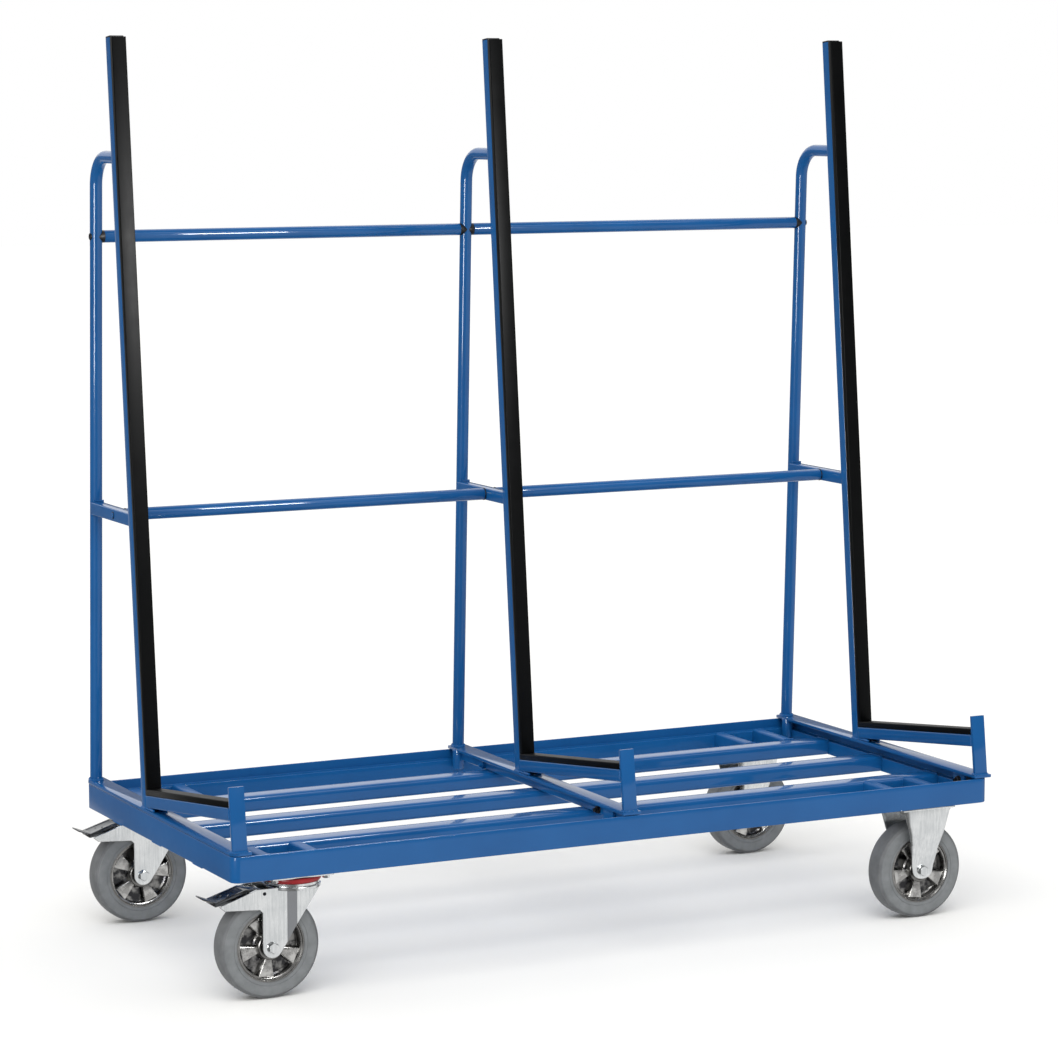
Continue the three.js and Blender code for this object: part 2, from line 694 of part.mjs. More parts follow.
// Fixed fork: two tapered cheeks that hang from the edges of one plate and draw in to the axle below a knee
const fixedFork = (cx, cy) => {
  const bendZ = wheelRadius + fixedBendRise;
  const kneeZ = wheelRadius + fixedKneeRise;
  const topY = plateWidth / 2;
  const kneeY = topY - fixedKneeInset;
  const shoulderZ = frameBottom - wheelRadius;
  const lowerEnd = arcPoints(0, 0, 1, Math.PI, 2 * Math.PI, bossFacets).map(
    (p) => v2(p.x * fixedEndHalf, p.y * fixedEndDrop));
  const taper = [
    ...lowerEnd,
    v2(fixedForkWaist, fixedWaistRise),
    v2(fixedForkTop, shoulderZ),
    v2(-fixedForkTop, shoulderZ),
    v2(-fixedForkWaist, fixedWaistRise),
  ];
  const flat = alongY(outline(taper, axleHole()), -plateWidth, plateWidth).translate(0, 0, wheelRadius);
  const cheek = (side) => {
    const strip = [
      v2(side * forkInner, 0),
      v2(side * forkOuter, 0),
      v2(side * forkOuter, bendZ),
      v2(side * kneeY, kneeZ),
      v2(side * topY, frameBottom),
      v2(side * (topY - forkSheet), frameBottom),
      v2(side * (kneeY - forkSheet), kneeZ),
      v2(side * forkInner, bendZ),
    ];
    return common(alongX(outline(side > 0 ? strip : strip.reverse()), -plateLength, plateLength), flat);
  };
  const bracket = joined(topPlate(0, 0, plateWidth), cheek(-1), cheek(1), ...mountBolts(0, 0));
  return bracket.translate(cx, cy, 0);
};

const rows = { front: -casterY, rear: casterY };
for (const [row, cy] of Object.entries(rows)) {
  const swivelX = -casterOffsetX;
  place(`${row}_swivel_head`, swivelHead(swivelX, cy), zinc);
  place(`${row}_dust_ring`, dustRing(swivelX, cy), redPlastic);
  place(`${row}_swivel_fork`, swivelFork(swivelX, cy), zinc);
  place(`${row}_brake_pedal`, brakePedal(swivelX, cy), zinc);
  place(`${row}_fixed_fork`, fixedFork(casterOffsetX, cy), zinc);
  for (const [kind, x] of [['swivel', swivelX - swivelTrail], ['fixed', casterOffsetX]]) {
    place(`${row}_${kind}_axle`, axle().translate(x, cy, wheelRadius), zinc);
    place(`${row}_${kind}_rim`, rim().translate(x, cy, wheelRadius), castRim);
    place(`${row}_${kind}_tyre`, tyre().translate(x, cy, wheelRadius), greyTyre);
  }
}

// The pedals stand out further on the left than the base bar on the right: centre the whole lengthwise
const leftEnd = -casterOffsetX - swivelTrail - pivotBack - pedalReach;
const rightEnd = Math.max(halfLength, supportPlaces.right + baseBarShift + baseBarWidth / 2);
const centreShift = -(leftEnd + rightEnd) / 2;
for (const mesh of group.children) {
  mesh.geometry.translate(centreShift, 0, 0);
}

export default group;
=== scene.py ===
# %% [markdown]
# # Dressing a sheet-goods cart
# The cart is a welded steel floor on four casters. Three rubber-faced supports lean back over it,
# and boards stand on their toes. The solid model already fixes every size, so this lesson only
# gives each piece its true edges, bends, welds and finish, in the place where the solid model has
# it.

# %% Load the frame
import math

import bmesh
import bpy
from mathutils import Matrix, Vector


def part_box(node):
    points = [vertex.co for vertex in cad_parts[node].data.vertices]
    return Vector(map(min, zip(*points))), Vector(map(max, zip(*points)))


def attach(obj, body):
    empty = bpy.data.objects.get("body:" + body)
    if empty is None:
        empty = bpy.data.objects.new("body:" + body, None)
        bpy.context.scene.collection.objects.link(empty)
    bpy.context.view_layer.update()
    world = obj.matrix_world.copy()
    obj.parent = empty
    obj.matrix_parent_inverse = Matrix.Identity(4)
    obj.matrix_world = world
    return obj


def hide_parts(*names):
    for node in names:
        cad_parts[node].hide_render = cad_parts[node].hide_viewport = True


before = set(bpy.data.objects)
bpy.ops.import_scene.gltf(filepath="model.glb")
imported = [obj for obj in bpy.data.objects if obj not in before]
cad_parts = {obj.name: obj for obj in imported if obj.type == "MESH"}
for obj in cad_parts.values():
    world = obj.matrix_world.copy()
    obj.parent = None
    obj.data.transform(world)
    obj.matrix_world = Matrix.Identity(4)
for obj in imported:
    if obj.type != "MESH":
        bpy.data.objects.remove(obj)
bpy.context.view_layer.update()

MM = 0.001

# %% [markdown]
# ## The camera
# A product picture like this is taken from far away with a long lens, so upright edges stay nearly
# parallel. The place, the turn and the lens below were worked out from the photograph's own edges:
# the frame's four corners, the wheels and the post tops all have to land on their pixels at once.

# %% Camera
FRAME_PIXELS = 1058
FOCAL_PIXELS = 3523.7
AIM_PIXEL = (538.7, 471.8)
SENSOR = 36.0
AZIMUTH, ELEVATION = math.radians(-26.96), math.radians(6.22)
STAND_LEFT, STAND_FRONT, STAND_HIGH = 3.24373, 6.37689, 1.705
middle_x = sum(v.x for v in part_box("middle_lean_post")) / 2
look = Vector((-math.sin(AZIMUTH) * math.cos(ELEVATION),
               math.cos(AZIMUTH) * math.cos(ELEVATION),
               -math.sin(ELEVATION)))
lens = bpy.data.cameras.new("camera")
lens.sensor_width = SENSOR
lens.lens = FOCAL_PIXELS / FRAME_PIXELS * SENSOR
lens.shift_x = 0.5 - AIM_PIXEL[0] / FRAME_PIXELS
lens.shift_y = AIM_PIXEL[1] / FRAME_PIXELS - 0.5
camera = bpy.data.objects.new("camera", lens)
bpy.context.scene.collection.objects.link(camera)
camera.location = (middle_x - STAND_LEFT, -STAND_FRONT, STAND_HIGH)
camera.rotation_euler = look.to_track_quat("-Z", "Y").to_euler()
bpy.context.scene.camera = camera
print("camera stands", round(camera.location.length, 2), "m from the cart's middle")

# %% [markdown]
# ## Hand tools
# Every piece is made as by hand: add a primitive, select some of its faces or edges, and push,
# bevel or cut them. An operator works on whatever is selected, so the first helpers clear the
# selection and pick parts of a mesh by where they are and where they face.

# %% Selecting
def rest():
    """Back to object mode, with nothing selected."""
    if bpy.context.object and bpy.context.object.mode != "OBJECT":
        bpy.ops.object.mode_set(mode="OBJECT")
    bpy.ops.object.select_all(action="DESELECT")


def take(*pieces):
    """Selects these pieces only; the first is the active one."""
    rest()
    for piece in pieces:
        piece.select_set(True)
    bpy.context.view_layer.objects.active = pieces[0]


def pick(piece, kind, wanted):
    """Selects the parts of a mesh whose middle and direction pass a test."""
    take(piece)
    bpy.ops.object.mode_set(mode="EDIT")
    bpy.ops.mesh.select_mode(type=kind)
    bpy.ops.mesh.select_all(action="DESELECT")
    mesh = bmesh.from_edit_mesh(piece.data)
    if kind == "FACE":
        found = [(f, f.calc_center_median(), f.normal) for f in mesh.faces]
    elif kind == "EDGE":
        found = [(e, (e.verts[0].co + e.verts[1].co) / 2,
                  (e.verts[1].co - e.verts[0].co).normalized()) for e in mesh.edges]
    else:
        found = [(v, v.co, v.normal) for v in mesh.verts]
    for part, place, way in found:
        part.select_set(bool(wanted(place, way)))
    mesh.select_flush_mode()
    bmesh.update_edit_mesh(piece.data)


print("picking tools ready")

# %% [markdown]
# Most of this cart is bar, tube and sheet. A bar starts as a cube at its size and place. A sheet
# part starts as an outline, drawn by pulling one corner from point to point, filled, and pushed to
# its thickness. A wheel starts as half a section that is spun about its axle.

# %% Starting shapes
def mm(x, y, z):
    """A point or a push in millimetres."""
    return Vector((x, y, z)) * MM


def at(x, y, z):
    """A point with x in metres and the rest in millimetres."""
    return Vector((x, y * MM, z * MM))


def bar(name, low, high):
    """A block between two corners."""
    rest()
    low, high = Vector(low), Vector(high)
    bpy.ops.mesh.primitive_cube_add(size=1, location=(low + high) / 2, scale=high - low)
    bpy.ops.object.transform_apply(location=True, rotation=True, scale=True)
    bpy.context.object.name = name
    return bpy.context.object


def rod(name, start, end, radius, sides=40):
    """A round bar from one point to another."""
    rest()
    start, end = Vector(start), Vector(end)
    way = end - start
    bpy.ops.mesh.primitive_cylinder_add(
        vertices=sides, radius=radius, depth=way.length, location=(start + end) / 2,
        rotation=way.to_track_quat("Z", "Y").to_euler())
    bpy.ops.object.transform_apply(location=True, rotation=True, scale=True)
    bpy.context.object.name = name
    return bpy.context.object


def trace(name, points):
    """An outline drawn by pulling one corner from point to point, left selected in edit mode."""
    rest()
    points = [Vector(p) for p in points]
    bpy.ops.mesh.primitive_plane_add(size=2 * MM)
    piece = bpy.context.object
    piece.name = name
    bpy.ops.object.mode_set(mode="EDIT")
    bpy.ops.mesh.select_mode(type="VERT")
    bpy.ops.mesh.select_all(action="SELECT")
    bpy.ops.mesh.merge(type="CENTER")
    bpy.ops.transform.translate(value=points[0])
    for here, there in zip(points, points[1:]):
        bpy.ops.mesh.extrude_region_move(TRANSFORM_OT_translate={"value": there - here})
    return piece


def close_outline():
    """Merges the ends of an outline and leaves all of it selected."""
    bpy.ops.mesh.select_all(action="SELECT")
    bpy.ops.mesh.remove_doubles(threshold=1e-6)
    bpy.ops.mesh.select_all(action="SELECT")


def plate(name, points, push):
    """A filled outline pushed out to a thickness."""
    piece = trace(name, list(points) + [points[0]])
    close_outline()
    bpy.ops.mesh.edge_face_add()
    bpy.ops.mesh.extrude_region_move(TRANSFORM_OT_translate={"value": push})
    bpy.ops.mesh.select_all(action="SELECT")
    bpy.ops.mesh.normals_make_consistent(inside=False)
    rest()
    return piece


def turned(name, section, steps):
    """A closed half-section of (radius, along) points in millimetres, spun about the Y axis."""
    points = [mm(r, y, 0) for r, y in section]
    piece = trace(name, points + [points[0]])
    close_outline()
    bpy.ops.mesh.spin(steps=steps, angle=2 * math.pi, center=(0, 0, 0), axis=(0, 1, 0))
    close_outline()
    bpy.ops.mesh.normals_make_consistent(inside=False)
    rest()
    return piece


print("starting shapes ready")

# %% [markdown]
# Edges on real steel are never sharp: a bent tube has a radius of a few millimetres and a sawn bar
# has its burr taken off. The rounding catches the light and is what makes the piece read as metal,
# so every piece gets it, from a Bevel modifier that is applied at once.

# %% Finishing shapes
def apply_modifier(piece, kind, **settings):
    """Adds a modifier with its settings and applies it at once."""
    take(piece)
    modifier = piece.modifiers.new(kind.lower(), kind)
    for key, value in settings.items():
        setattr(modifier, key, value)
    bpy.ops.object.modifier_apply(modifier=modifier.name)
    return piece


def soften(piece, width, segments, angle=35):
    """Rounds every edge that turns by more than an angle."""
    return apply_modifier(piece, "BEVEL", width=width * MM, segments=segments, limit_method="ANGLE",
                          angle_limit=math.radians(angle), harden_normals=False)


def round_along(piece, axis, width, segments):
    """Rounds the edges of a bar that run along one axis."""
    pick(piece, "EDGE", lambda place, way: abs(way[axis]) > 0.99)
    bpy.ops.mesh.bevel(offset=width * MM, segments=segments, affect="EDGES")
    rest()
    return piece


def set_on(piece, place, turn):
    """Turns a piece about the origin and moves it, leaving the place in its mesh."""
    take(piece)
    piece.rotation_euler = turn
    piece.location = place
    bpy.ops.object.transform_apply(location=True, rotation=True, scale=True)
    return piece


def copy_of(piece, shift=(0, 0, 0), turn=(0, 0, 0)):
    """A copy with its own mesh, turned and moved."""
    take(piece)
    bpy.ops.object.duplicate(linked=False)
    return set_on(bpy.context.object, shift, turn)


def together(name, *pieces):
    """Several bodies as one piece."""
    take(*pieces)
    if len(pieces) > 1:
        bpy.ops.object.join()
    bpy.context.object.name = name
    return bpy.context.object


def carve(piece, cutter):
    """Cuts one body out of another; the cutter is used up."""
    apply_modifier(piece, "BOOLEAN", object=cutter, operation="DIFFERENCE", solver="EXACT")
    bpy.data.objects.remove(cutter)
    return piece


made = []


def settle(piece, finish, body, slot, *nodes, smooth=35):
    """Gives a finished piece its material and its ride, in place of the solid nodes it dresses."""
    take(piece)
    bpy.ops.object.shade_smooth_by_angle(angle=math.radians(smooth))
    piece.data.materials.clear()
    piece.data.materials.append(finish)
    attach(piece, body)
    if nodes:
        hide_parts(*nodes)
    made.append(piece)
    print(piece.name, "-", len(piece.data.polygons), "faces")
    return piece


# %% [markdown]
# ## Finishes
# A finish is a small shader graph. To keep the graphs readable, a socket is wrapped so that
# arithmetic on it adds Math nodes, and one method adds every other kind of node. All patterns read
# Object coordinates, in metres, so a noise scale of 500 means grains about two millimetres across.

# %% Shader arithmetic
class Wire:
    """One output of a shader node."""

    def __init__(self, tree, socket=None):
        self.tree = tree
        self.socket = socket

    def node(self, kind, settings=None, inputs=None, output=0):
        """Any node: settings first, then the values or links of its sockets."""
        made_node = self.tree.nodes.new("ShaderNode" + kind)
        for key, value in (settings or {}).items():
            if key == "stops":
                ramp = made_node.color_ramp
                while len(ramp.elements) < len(value):
                    ramp.elements.new(0.5)
                for element, (position, shade) in zip(ramp.elements, value):
                    element.position = position
                    element.color = (shade, shade, shade, 1)
            else:
                setattr(made_node, key, value)
        for key, value in (inputs or {}).items():
            if isinstance(value, Wire):
                self.tree.links.new(value.socket, made_node.inputs[key])
            else:
                made_node.inputs[key].default_value = value
        return Wire(self.tree, made_node.outputs[output])

    def maths(self, operation, first, second):
        return self.node("Math", {"operation": operation}, {0: first, 1: second})

    def size_of(self, value):
        return self.node("Math", {"operation": "ABSOLUTE"}, {0: value})

    def below(self, value, limit):
        """1 where a value is under a limit, else 0."""
        return self.maths("LESS_THAN", value, limit)

    def __add__(self, other):
        return self.maths("ADD", self, other)

    def __sub__(self, other):
        return self.maths("SUBTRACT", self, other)

    def __rsub__(self, other):
        return self.maths("SUBTRACT", other, self)

    def __mul__(self, other):
        return self.maths("MULTIPLY", self, other)

    __radd__ = __add__
    __rmul__ = __mul__


class Finish:
    """A material with one shader, and the places that may vary over the surface."""

    def __init__(self, name, **constants):
        self.material = bpy.data.materials.new(name)
        self.material.use_nodes = True
        tree = self.material.node_tree
        self.shader = next(n for n in tree.nodes if n.type == "BSDF_PRINCIPLED")
        for key, value in constants.items():
            socket = key.replace("_", " ").title().replace("Ior", "IOR")
            self.shader.inputs[socket].default_value = value
        self.wire = Wire(tree)
        self.here = self.wire.node("TexCoord", output="Object")

    def place(self, axis):
        """One coordinate of the surface, in metres."""
        return self.wire.node("SeparateXYZ", inputs={"Vector": self.here}, output=axis)

    def noise(self, scale, detail, roughness=0.5, stretch=(1, 1, 1)):
        """Cloudy noise, 0 to 1; a small stretch on an axis draws it out along that axis."""
        spot = self.wire.node("Mapping", inputs={"Vector": self.here, "Scale": stretch})
        return self.wire.node("TexNoise", inputs={
            "Vector": spot, "Scale": scale, "Detail": detail, "Roughness": roughness})

    def ramp(self, value, *stops):
        """A value spread between stops of (position, grey)."""
        return self.wire.node("ValToRGB", {"stops": stops}, {"Fac": value})

    def mix(self, factor, first, second):
        """The first colour at 0 and the second at 1."""
        sockets = {0: factor, 6: first, 7: second}
        return self.wire.node("Mix", {"data_type": "RGBA"}, sockets, output=2)

    def feed(self, **wires):
        """Links values to the shader's own sockets."""
        for key, value in wires.items():
            self.wire.tree.links.new(value.socket, self.shader.inputs[key.replace("_", " ")])
        return self

    def bump(self, height, depth, strength):
        """A relief of a depth in millimetres."""
        grain = self.wire.node("Bump", inputs={
            "Height": height, "Distance": depth * MM, "Strength": strength})
        return self.feed(Normal=grain)


def shade(red, green, blue):
    """A colour as a picture editor gives it, 0 to 255, in the shader's linear light."""
    def linear(value):
        value /= 255
        return value / 12.92 if value <= 0.04045 else ((value + 0.055) / 1.055) ** 2.4
    return (linear(red), linear(green), linear(blue), 1)


print("shader tools ready")

# %% [markdown]
# The steelwork is powder-coated: a sprayed powder that is baked to a hard skin. It has a fine
# orange-peel surface, a soft gloss, and almost no change of colour. A second, clear layer (Coat)
# gives the pale sheen that the upper faces show at a shallow angle. Inside the frame, where the
# spray reaches less well, the skin is duller: the edge frame's coat drops within its lip and the
# short cross-bars have little of it.

# %% Blue powder coat
def powder_coat(name, gloss, rough):
    paint = Finish(name, coat_weight=gloss, coat_roughness=0.07, specular_ior_level=0.1)
    tone = paint.ramp(paint.noise(7, 3), (0.3, 0.0), (0.7, 1.0))
    paint.feed(
        Base_Color=paint.mix(tone, shade(12, 82, 142), shade(17, 89, 151)),
        Roughness=rough + 0.10 * paint.noise(60, 3))
    return paint.bump(paint.noise(650, 2, 0.55), 0.04, 0.25)


GLOSS, GLOSS_LOST_INSIDE, SKIN = 0.72, 0.5, 0.34
LIP_X, LIP_Y = 0.8378, 0.3978
blue = powder_coat("blue_powder_coat", GLOSS, SKIN)
dull_blue = powder_coat("blue_cross_bar_coat", 0.15, 0.40)
rail_blue = powder_coat("blue_rail_coat", GLOSS, SKIN)
off_x = rail_blue.wire.size_of(rail_blue.place("X") - middle_x)
off_y = rail_blue.wire.size_of(rail_blue.place("Y"))
within = rail_blue.wire.below(off_x, LIP_X) * rail_blue.wire.below(off_y, LIP_Y)
rail_blue.feed(Coat_Weight=GLOSS - GLOSS_LOST_INSIDE * within)
print("blue powder coat:", len(rail_blue.material.node_tree.nodes), "nodes")

# %% [markdown]
# Forks, plates and axles are zinc plated: bright metal, very slightly blue, with faint streaks
# along the rolled sheet and a roughness that wanders from place to place. The upright step in the
# cheeks of the front swivel fork is painted grey: a painted dark reflection of the dark
# surroundings that its tilted face mirrors. The pedals are plated too, but darker and smoother from
# use. The bolts of the supports are blackened.

# %% Plated steel
def plated(name):
    plating = Finish(name, metallic=1.0)
    streak = plating.noise(240, 3, 0.6, stretch=(1, 1, 0.06))
    cloud = plating.noise(28, 3)
    drawn_out = plating.ramp(0.5 * cloud + 0.5 * streak, (0.40, 0.0), (0.60, 1.0))
    plating.tint = plating.mix(drawn_out, shade(219, 222, 223), shade(242, 244, 244))
    plating.feed(Base_Color=plating.tint, Roughness=0.13 + 0.12 * cloud + 0.06 * streak)
    return plating.bump(streak, 0.04, 0.25)


SWIVEL_X, FIXED_X, TRAIL = -697, 697, 54
CREASE_START, CREASE_END, CHEEK_TOP = 29.7, 51.5, 207.5
zinc = plated("zinc_plate")
fork_zinc = plated("zinc_fork_plate")
from_axle = fork_zinc.place("X") - (middle_x + (SWIVEL_X - TRAIL) * MM)
in_step = (fork_zinc.wire.below(CREASE_START * MM, from_axle)
           * fork_zinc.wire.below(from_axle, CREASE_END * MM))
on_cheek = in_step * fork_zinc.wire.below(fork_zinc.place("Z"), CHEEK_TOP * MM)
# Painted dark reflection: the step is coloured grey on the front row's swivel forks only.
painted_step_reflection = on_cheek * fork_zinc.wire.below(fork_zinc.place("Y"), 0)
fork_zinc.feed(Base_Color=fork_zinc.mix(painted_step_reflection, fork_zinc.tint, shade(146, 148, 151)))

worn_zinc = Finish("worn_pedal_zinc", metallic=1.0)
scuff = worn_zinc.noise(180, 4, 0.65, stretch=(1, 0.25, 1))
worn_zinc.feed(
    Base_Color=worn_zinc.mix(scuff, shade(80, 82, 85), shade(126, 128, 130)),
    Roughness=0.14 + 0.16 * scuff)
worn_zinc.bump(scuff, 0.03, 0.3)

dark_bolt = Finish("dark_bolt", metallic=0.85)
stain = dark_bolt.noise(300, 2)
dark_bolt.feed(
    Base_Color=dark_bolt.mix(stain, shade(24, 25, 30), shade(50, 52, 58)),
    Roughness=0.32 + 0.2 * stain)
print("plated steel ready")

# %% [markdown]
# The wheel centres are die-cast aluminium. Their outer faces are bright, and the pockets between
# the spokes are painted dark, a painted shade in the recesses, so the colour follows the depth
# from the wheel's middle. The solid tyres are grey rubber that does not mark floors: dull and a
# little dusty. Their tread is painted darker than their sides, a painted shade where less light
# falls.

# %% Cast rim and grey tyre
CASTER_Y, RIM_SPAN, TYRE_SPAN = 343, 40 * MM, 50 * MM


def row_depth(finish):
    """How far a spot is from the middle plane of its wheel, in metres."""
    return finish.wire.size_of(finish.wire.size_of(finish.place("Y")) - CASTER_Y * MM)


cast = Finish("cast_aluminium", metallic=1.0)
depth = row_depth(cast)
grain = cast.noise(700, 3, 0.6)
patch = cast.noise(70, 3)
# Painted shade: the deeper a spot lies towards the wheel's middle, the darker the pocket colour.
face = cast.ramp(depth * (1 / RIM_SPAN) + 0.06 * patch, (0.27, 0.0), (0.40, 1.0))
blotch = cast.ramp(patch, (0.42, 0.0), (0.62, 1.0))
painted_pocket_shade = cast.mix(blotch, shade(58, 58, 60), shade(150, 149, 147))
bright = cast.mix(blotch, shade(164, 163, 161), shade(214, 213, 210))
lip = cast.ramp(depth * (1 / RIM_SPAN), (0.47, 0.0), (0.51, 1.0))
cast.feed(
    Base_Color=cast.mix(lip, cast.mix(face, painted_pocket_shade, bright), shade(132, 131, 129)),
    Roughness=0.16 + 0.18 * patch + 0.06 * grain)
cast.bump(grain, 0.08, 0.4)

tyre_grey = Finish("grey_rubber", specular_ior_level=0.18)
dust = tyre_grey.noise(38, 4, 0.6)
pores = tyre_grey.noise(900, 2)
film = tyre_grey.ramp(dust, (0.35, 0.0), (0.7, 1.0))
# Painted shade: the tread gets a darker grey than the sidewall.
tread = tyre_grey.ramp(row_depth(tyre_grey) * (1 / TYRE_SPAN), (0.44, 1.0), (0.485, 0.0))
side_wall = tyre_grey.mix(film, shade(118, 121, 123), shade(133, 136, 138))
painted_tread_shade = tyre_grey.mix(film, shade(103, 105, 107), shade(118, 120, 122))
tyre_grey.feed(
    Base_Color=tyre_grey.mix(tread, side_wall, painted_tread_shade),
    Roughness=0.46 + 0.16 * dust)
tyre_grey.bump(pores, 0.04, 0.3)
print("wheel finishes ready")

# %% [markdown]
# The strips on posts and toes are black extruded rubber, so their marks run along the strip. Caps
# and saddles are black moulded plastic, and the dust ring of each swivel head is glossy red
# plastic.

# %% Rubber and plastics
strip_black = Finish("black_strip_rubber", specular_ior_level=0.09)
drawn = strip_black.noise(420, 2, 0.5, stretch=(1, 1, 0.05))
bloom = strip_black.noise(30, 3)
strip_black.feed(
    Base_Color=strip_black.mix(bloom, shade(4, 5, 6), shade(10, 11, 12)),
    Roughness=0.31 + 0.12 * bloom + 0.06 * drawn)
strip_black.bump(drawn, 0.03, 0.2)

cap_black = Finish("black_plastic", specular_ior_level=0.35)
mould = cap_black.noise(900, 2)
cap_black.feed(
    Base_Color=cap_black.mix(cap_black.noise(60, 2), shade(12, 12, 14), shade(22, 22, 24)),
    Roughness=0.38 + 0.12 * mould)
cap_black.bump(mould, 0.03, 0.3)

ring_red = Finish("red_plastic", specular_ior_level=0.5)
swirl = ring_red.noise(90, 3)
ring_red.feed(
    Base_Color=ring_red.mix(swirl, shade(138, 18, 26), shade(162, 27, 33)),
    Roughness=0.26 + 0.12 * swirl)
ring_red.bump(ring_red.noise(800, 2), 0.02, 0.3)
print("rubber and plastics ready")

# %% [markdown]
# ## The floor frame
# The edge of the deck is a rolled profile: a thin upright lip, a ledge a little below it, and a
# boxed lower part, bent round each corner. One long block is enough to make it: round the upright
# corners, inset the top and press it down to leave the lip, cut the middle out, and hollow it from
# below.

# %% Edge frame
FRAME_CORNER, LIP, LEDGE_DROP, RAIL_WIDTH, RAIL_HIGH, SHEET = 18, 5, 20, 20, 50, 3
front_low, rear_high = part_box("front_rail")[0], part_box("rear_rail")[1]
frame_low = Vector((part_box("left_rail")[0].x, front_low.y, front_low.z))
frame_high = Vector((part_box("right_rail")[1].x, rear_high.y, rear_high.z))
edge_frame = bar("edge_frame", frame_low, frame_high)
round_along(edge_frame, 2, FRAME_CORNER, 8)
pick(edge_frame, "FACE", lambda place, way: way.z > 0.9)
bpy.ops.mesh.inset(thickness=LIP * MM, depth=0)
bpy.ops.mesh.extrude_region_move(TRANSFORM_OT_translate={"value": mm(0, 0, -LEDGE_DROP)})
inside = mm(RAIL_WIDTH, RAIL_WIDTH, 0)
past = mm(0, 0, 40)
carve(edge_frame, bar("well", frame_low + inside - past, frame_high - inside + past))
pick(edge_frame, "FACE", lambda place, way: way.z < -0.9 and place.z < frame_low.z + MM)
bpy.ops.mesh.inset(thickness=SHEET * MM, depth=0)
bpy.ops.mesh.extrude_region_move(
    TRANSFORM_OT_translate={"value": mm(0, 0, RAIL_HIGH - LEDGE_DROP - SHEET)})
rest()
soften(edge_frame, 1.6, 3)
settle(edge_frame, rail_blue.material, "frame", "blue_paint",
       "front_rail", "rear_rail", "left_rail", "right_rail")

# %% [markdown]
# The floor and the supports are welded. A weld is a row of small overlapping ripples: one bead is
# pulled out of a ring step by step, swelling and shrinking, and copied to wherever two pieces meet.

# %% Weld bead
BEAD_TIP, BEAD_PITCH, BEAD_WAIST = 0.55, 0.62, 0.78


def bead(length, radius):
    """A straight weld along X, starting at the origin, with a ripple for each drop of metal."""
    rest()
    bpy.ops.mesh.primitive_circle_add(vertices=8, radius=radius * BEAD_TIP * MM, fill_type="NGON",
                                      rotation=(0, math.pi / 2, 0))
    piece = bpy.context.object
    bpy.ops.object.transform_apply(location=True, rotation=True, scale=True)
    bpy.ops.object.mode_set(mode="EDIT")
    bpy.ops.mesh.select_all(action="SELECT")
    step = radius * BEAD_PITCH
    for i in range(max(2, round(length / step))):
        grow = 1 / BEAD_TIP if i == 0 else (BEAD_WAIST if i % 2 else 1 / BEAD_WAIST)
        bpy.ops.mesh.extrude_region_move(TRANSFORM_OT_translate={"value": mm(step, 0, 0)})
        bpy.ops.transform.resize(value=(1, grow, grow))
    bpy.ops.mesh.select_all(action="SELECT")
    bpy.ops.mesh.normals_make_consistent(inside=False)
    rest()
    return piece


ALONG_X, ALONG_Y, ALONG_Z = (0, 0, 0), (0, 0, math.pi / 2), (0, -math.pi / 2, 0)
BEAD_LONG, BEAD_R = 22, 2.4
short_bead = bead(BEAD_LONG, BEAD_R)
print("weld bead:", len(short_bead.data.polygons), "faces")

# %% [markdown]
# The deck is three rectangular tubes along the length, with a pair of short bars over each caster.
# Tube has a generous corner radius, so each bar gets its long edges rounded before the welds go on.

# %% Deck beams
BEAM_CORNER = 9
BEAM_INNER, BEAM_OUTER, RAIL_INSIDE = 0.193, 0.243, 0.380
CROSS_START, CROSS_STEP, CROSS_HALF, BEAD_LAP = 0.240, 0.049, 0.0125, 0.0005


def deck_beam(node, cross_side):
    """One long tube, with the four short bars that join it to the edge rail on one side."""
    low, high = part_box(node)
    crosses, welds = [], []
    inner, outer = low.y, high.y
    weld_z = high.z - MM
    if cross_side:
        inner, outer = sorted((cross_side * BEAM_INNER, cross_side * BEAM_OUTER))
        start, end = sorted((cross_side * CROSS_START, cross_side * RAIL_INSIDE))
        for x in [middle_x + caster * MM + step
                  for caster in (SWIVEL_X, FIXED_X) for step in (-CROSS_STEP, CROSS_STEP)]:
            cross = bar("cross", (x - CROSS_HALF, start, low.z), (x + CROSS_HALF, end, high.z))
            crosses.append(round_along(cross, 1, BEAM_CORNER / 2, 4))
            for y in (BEAM_OUTER + BEAD_LAP, RAIL_INSIDE - BEAD_LAP):
                seam = (x - BEAD_LONG / 2 * MM, cross_side * y, weld_z)
                crosses.append(copy_of(short_bead, seam, ALONG_X))
    tube = bar("tube", (low.x, inner, low.z), (high.x, outer, high.z))
    round_along(tube, 0, BEAM_CORNER, 6)
    for x in (low.x + BEAD_LAP, high.x - BEAD_LAP):
        for y in (3, 3 + BEAD_LONG):
            welds.append(copy_of(short_bead, (x, inner + y * MM, weld_z), ALONG_Y))
    settle(together(node + "_tube", tube, *welds), blue.material, "frame", "blue_paint", node)
    if crosses:
        settle(together(node + "_cross_bars", *crosses), dull_blue.material, "frame", "blue_paint")


deck_beam("front_deck_beam", -1)
deck_beam("rear_deck_beam", 1)
deck_beam("centre_deck_beam", 0)

# %% [markdown]
# Along the lower edge of each end rail, two short beads in a row mark the end of each tube. The edge
# frame is finished by now, so these beads make a piece of their own.

# %% Welds under the end rails
END_WELD_Y, END_WELD_Z = (-241, -217, -23, 1, 195, 219), 235.2
edge_welds = [copy_of(short_bead, at(x, y, END_WELD_Z), ALONG_Y)
              for x in (frame_low.x + 2 * MM, frame_high.x - 2 * MM) for y in END_WELD_Y]
settle(together("end_rail_welds", *edge_welds), blue.material, "frame", "blue_paint")

# %% [markdown]
# A low bar lies across the tubes under the middle support. A block with rounded long edges is
# enough.

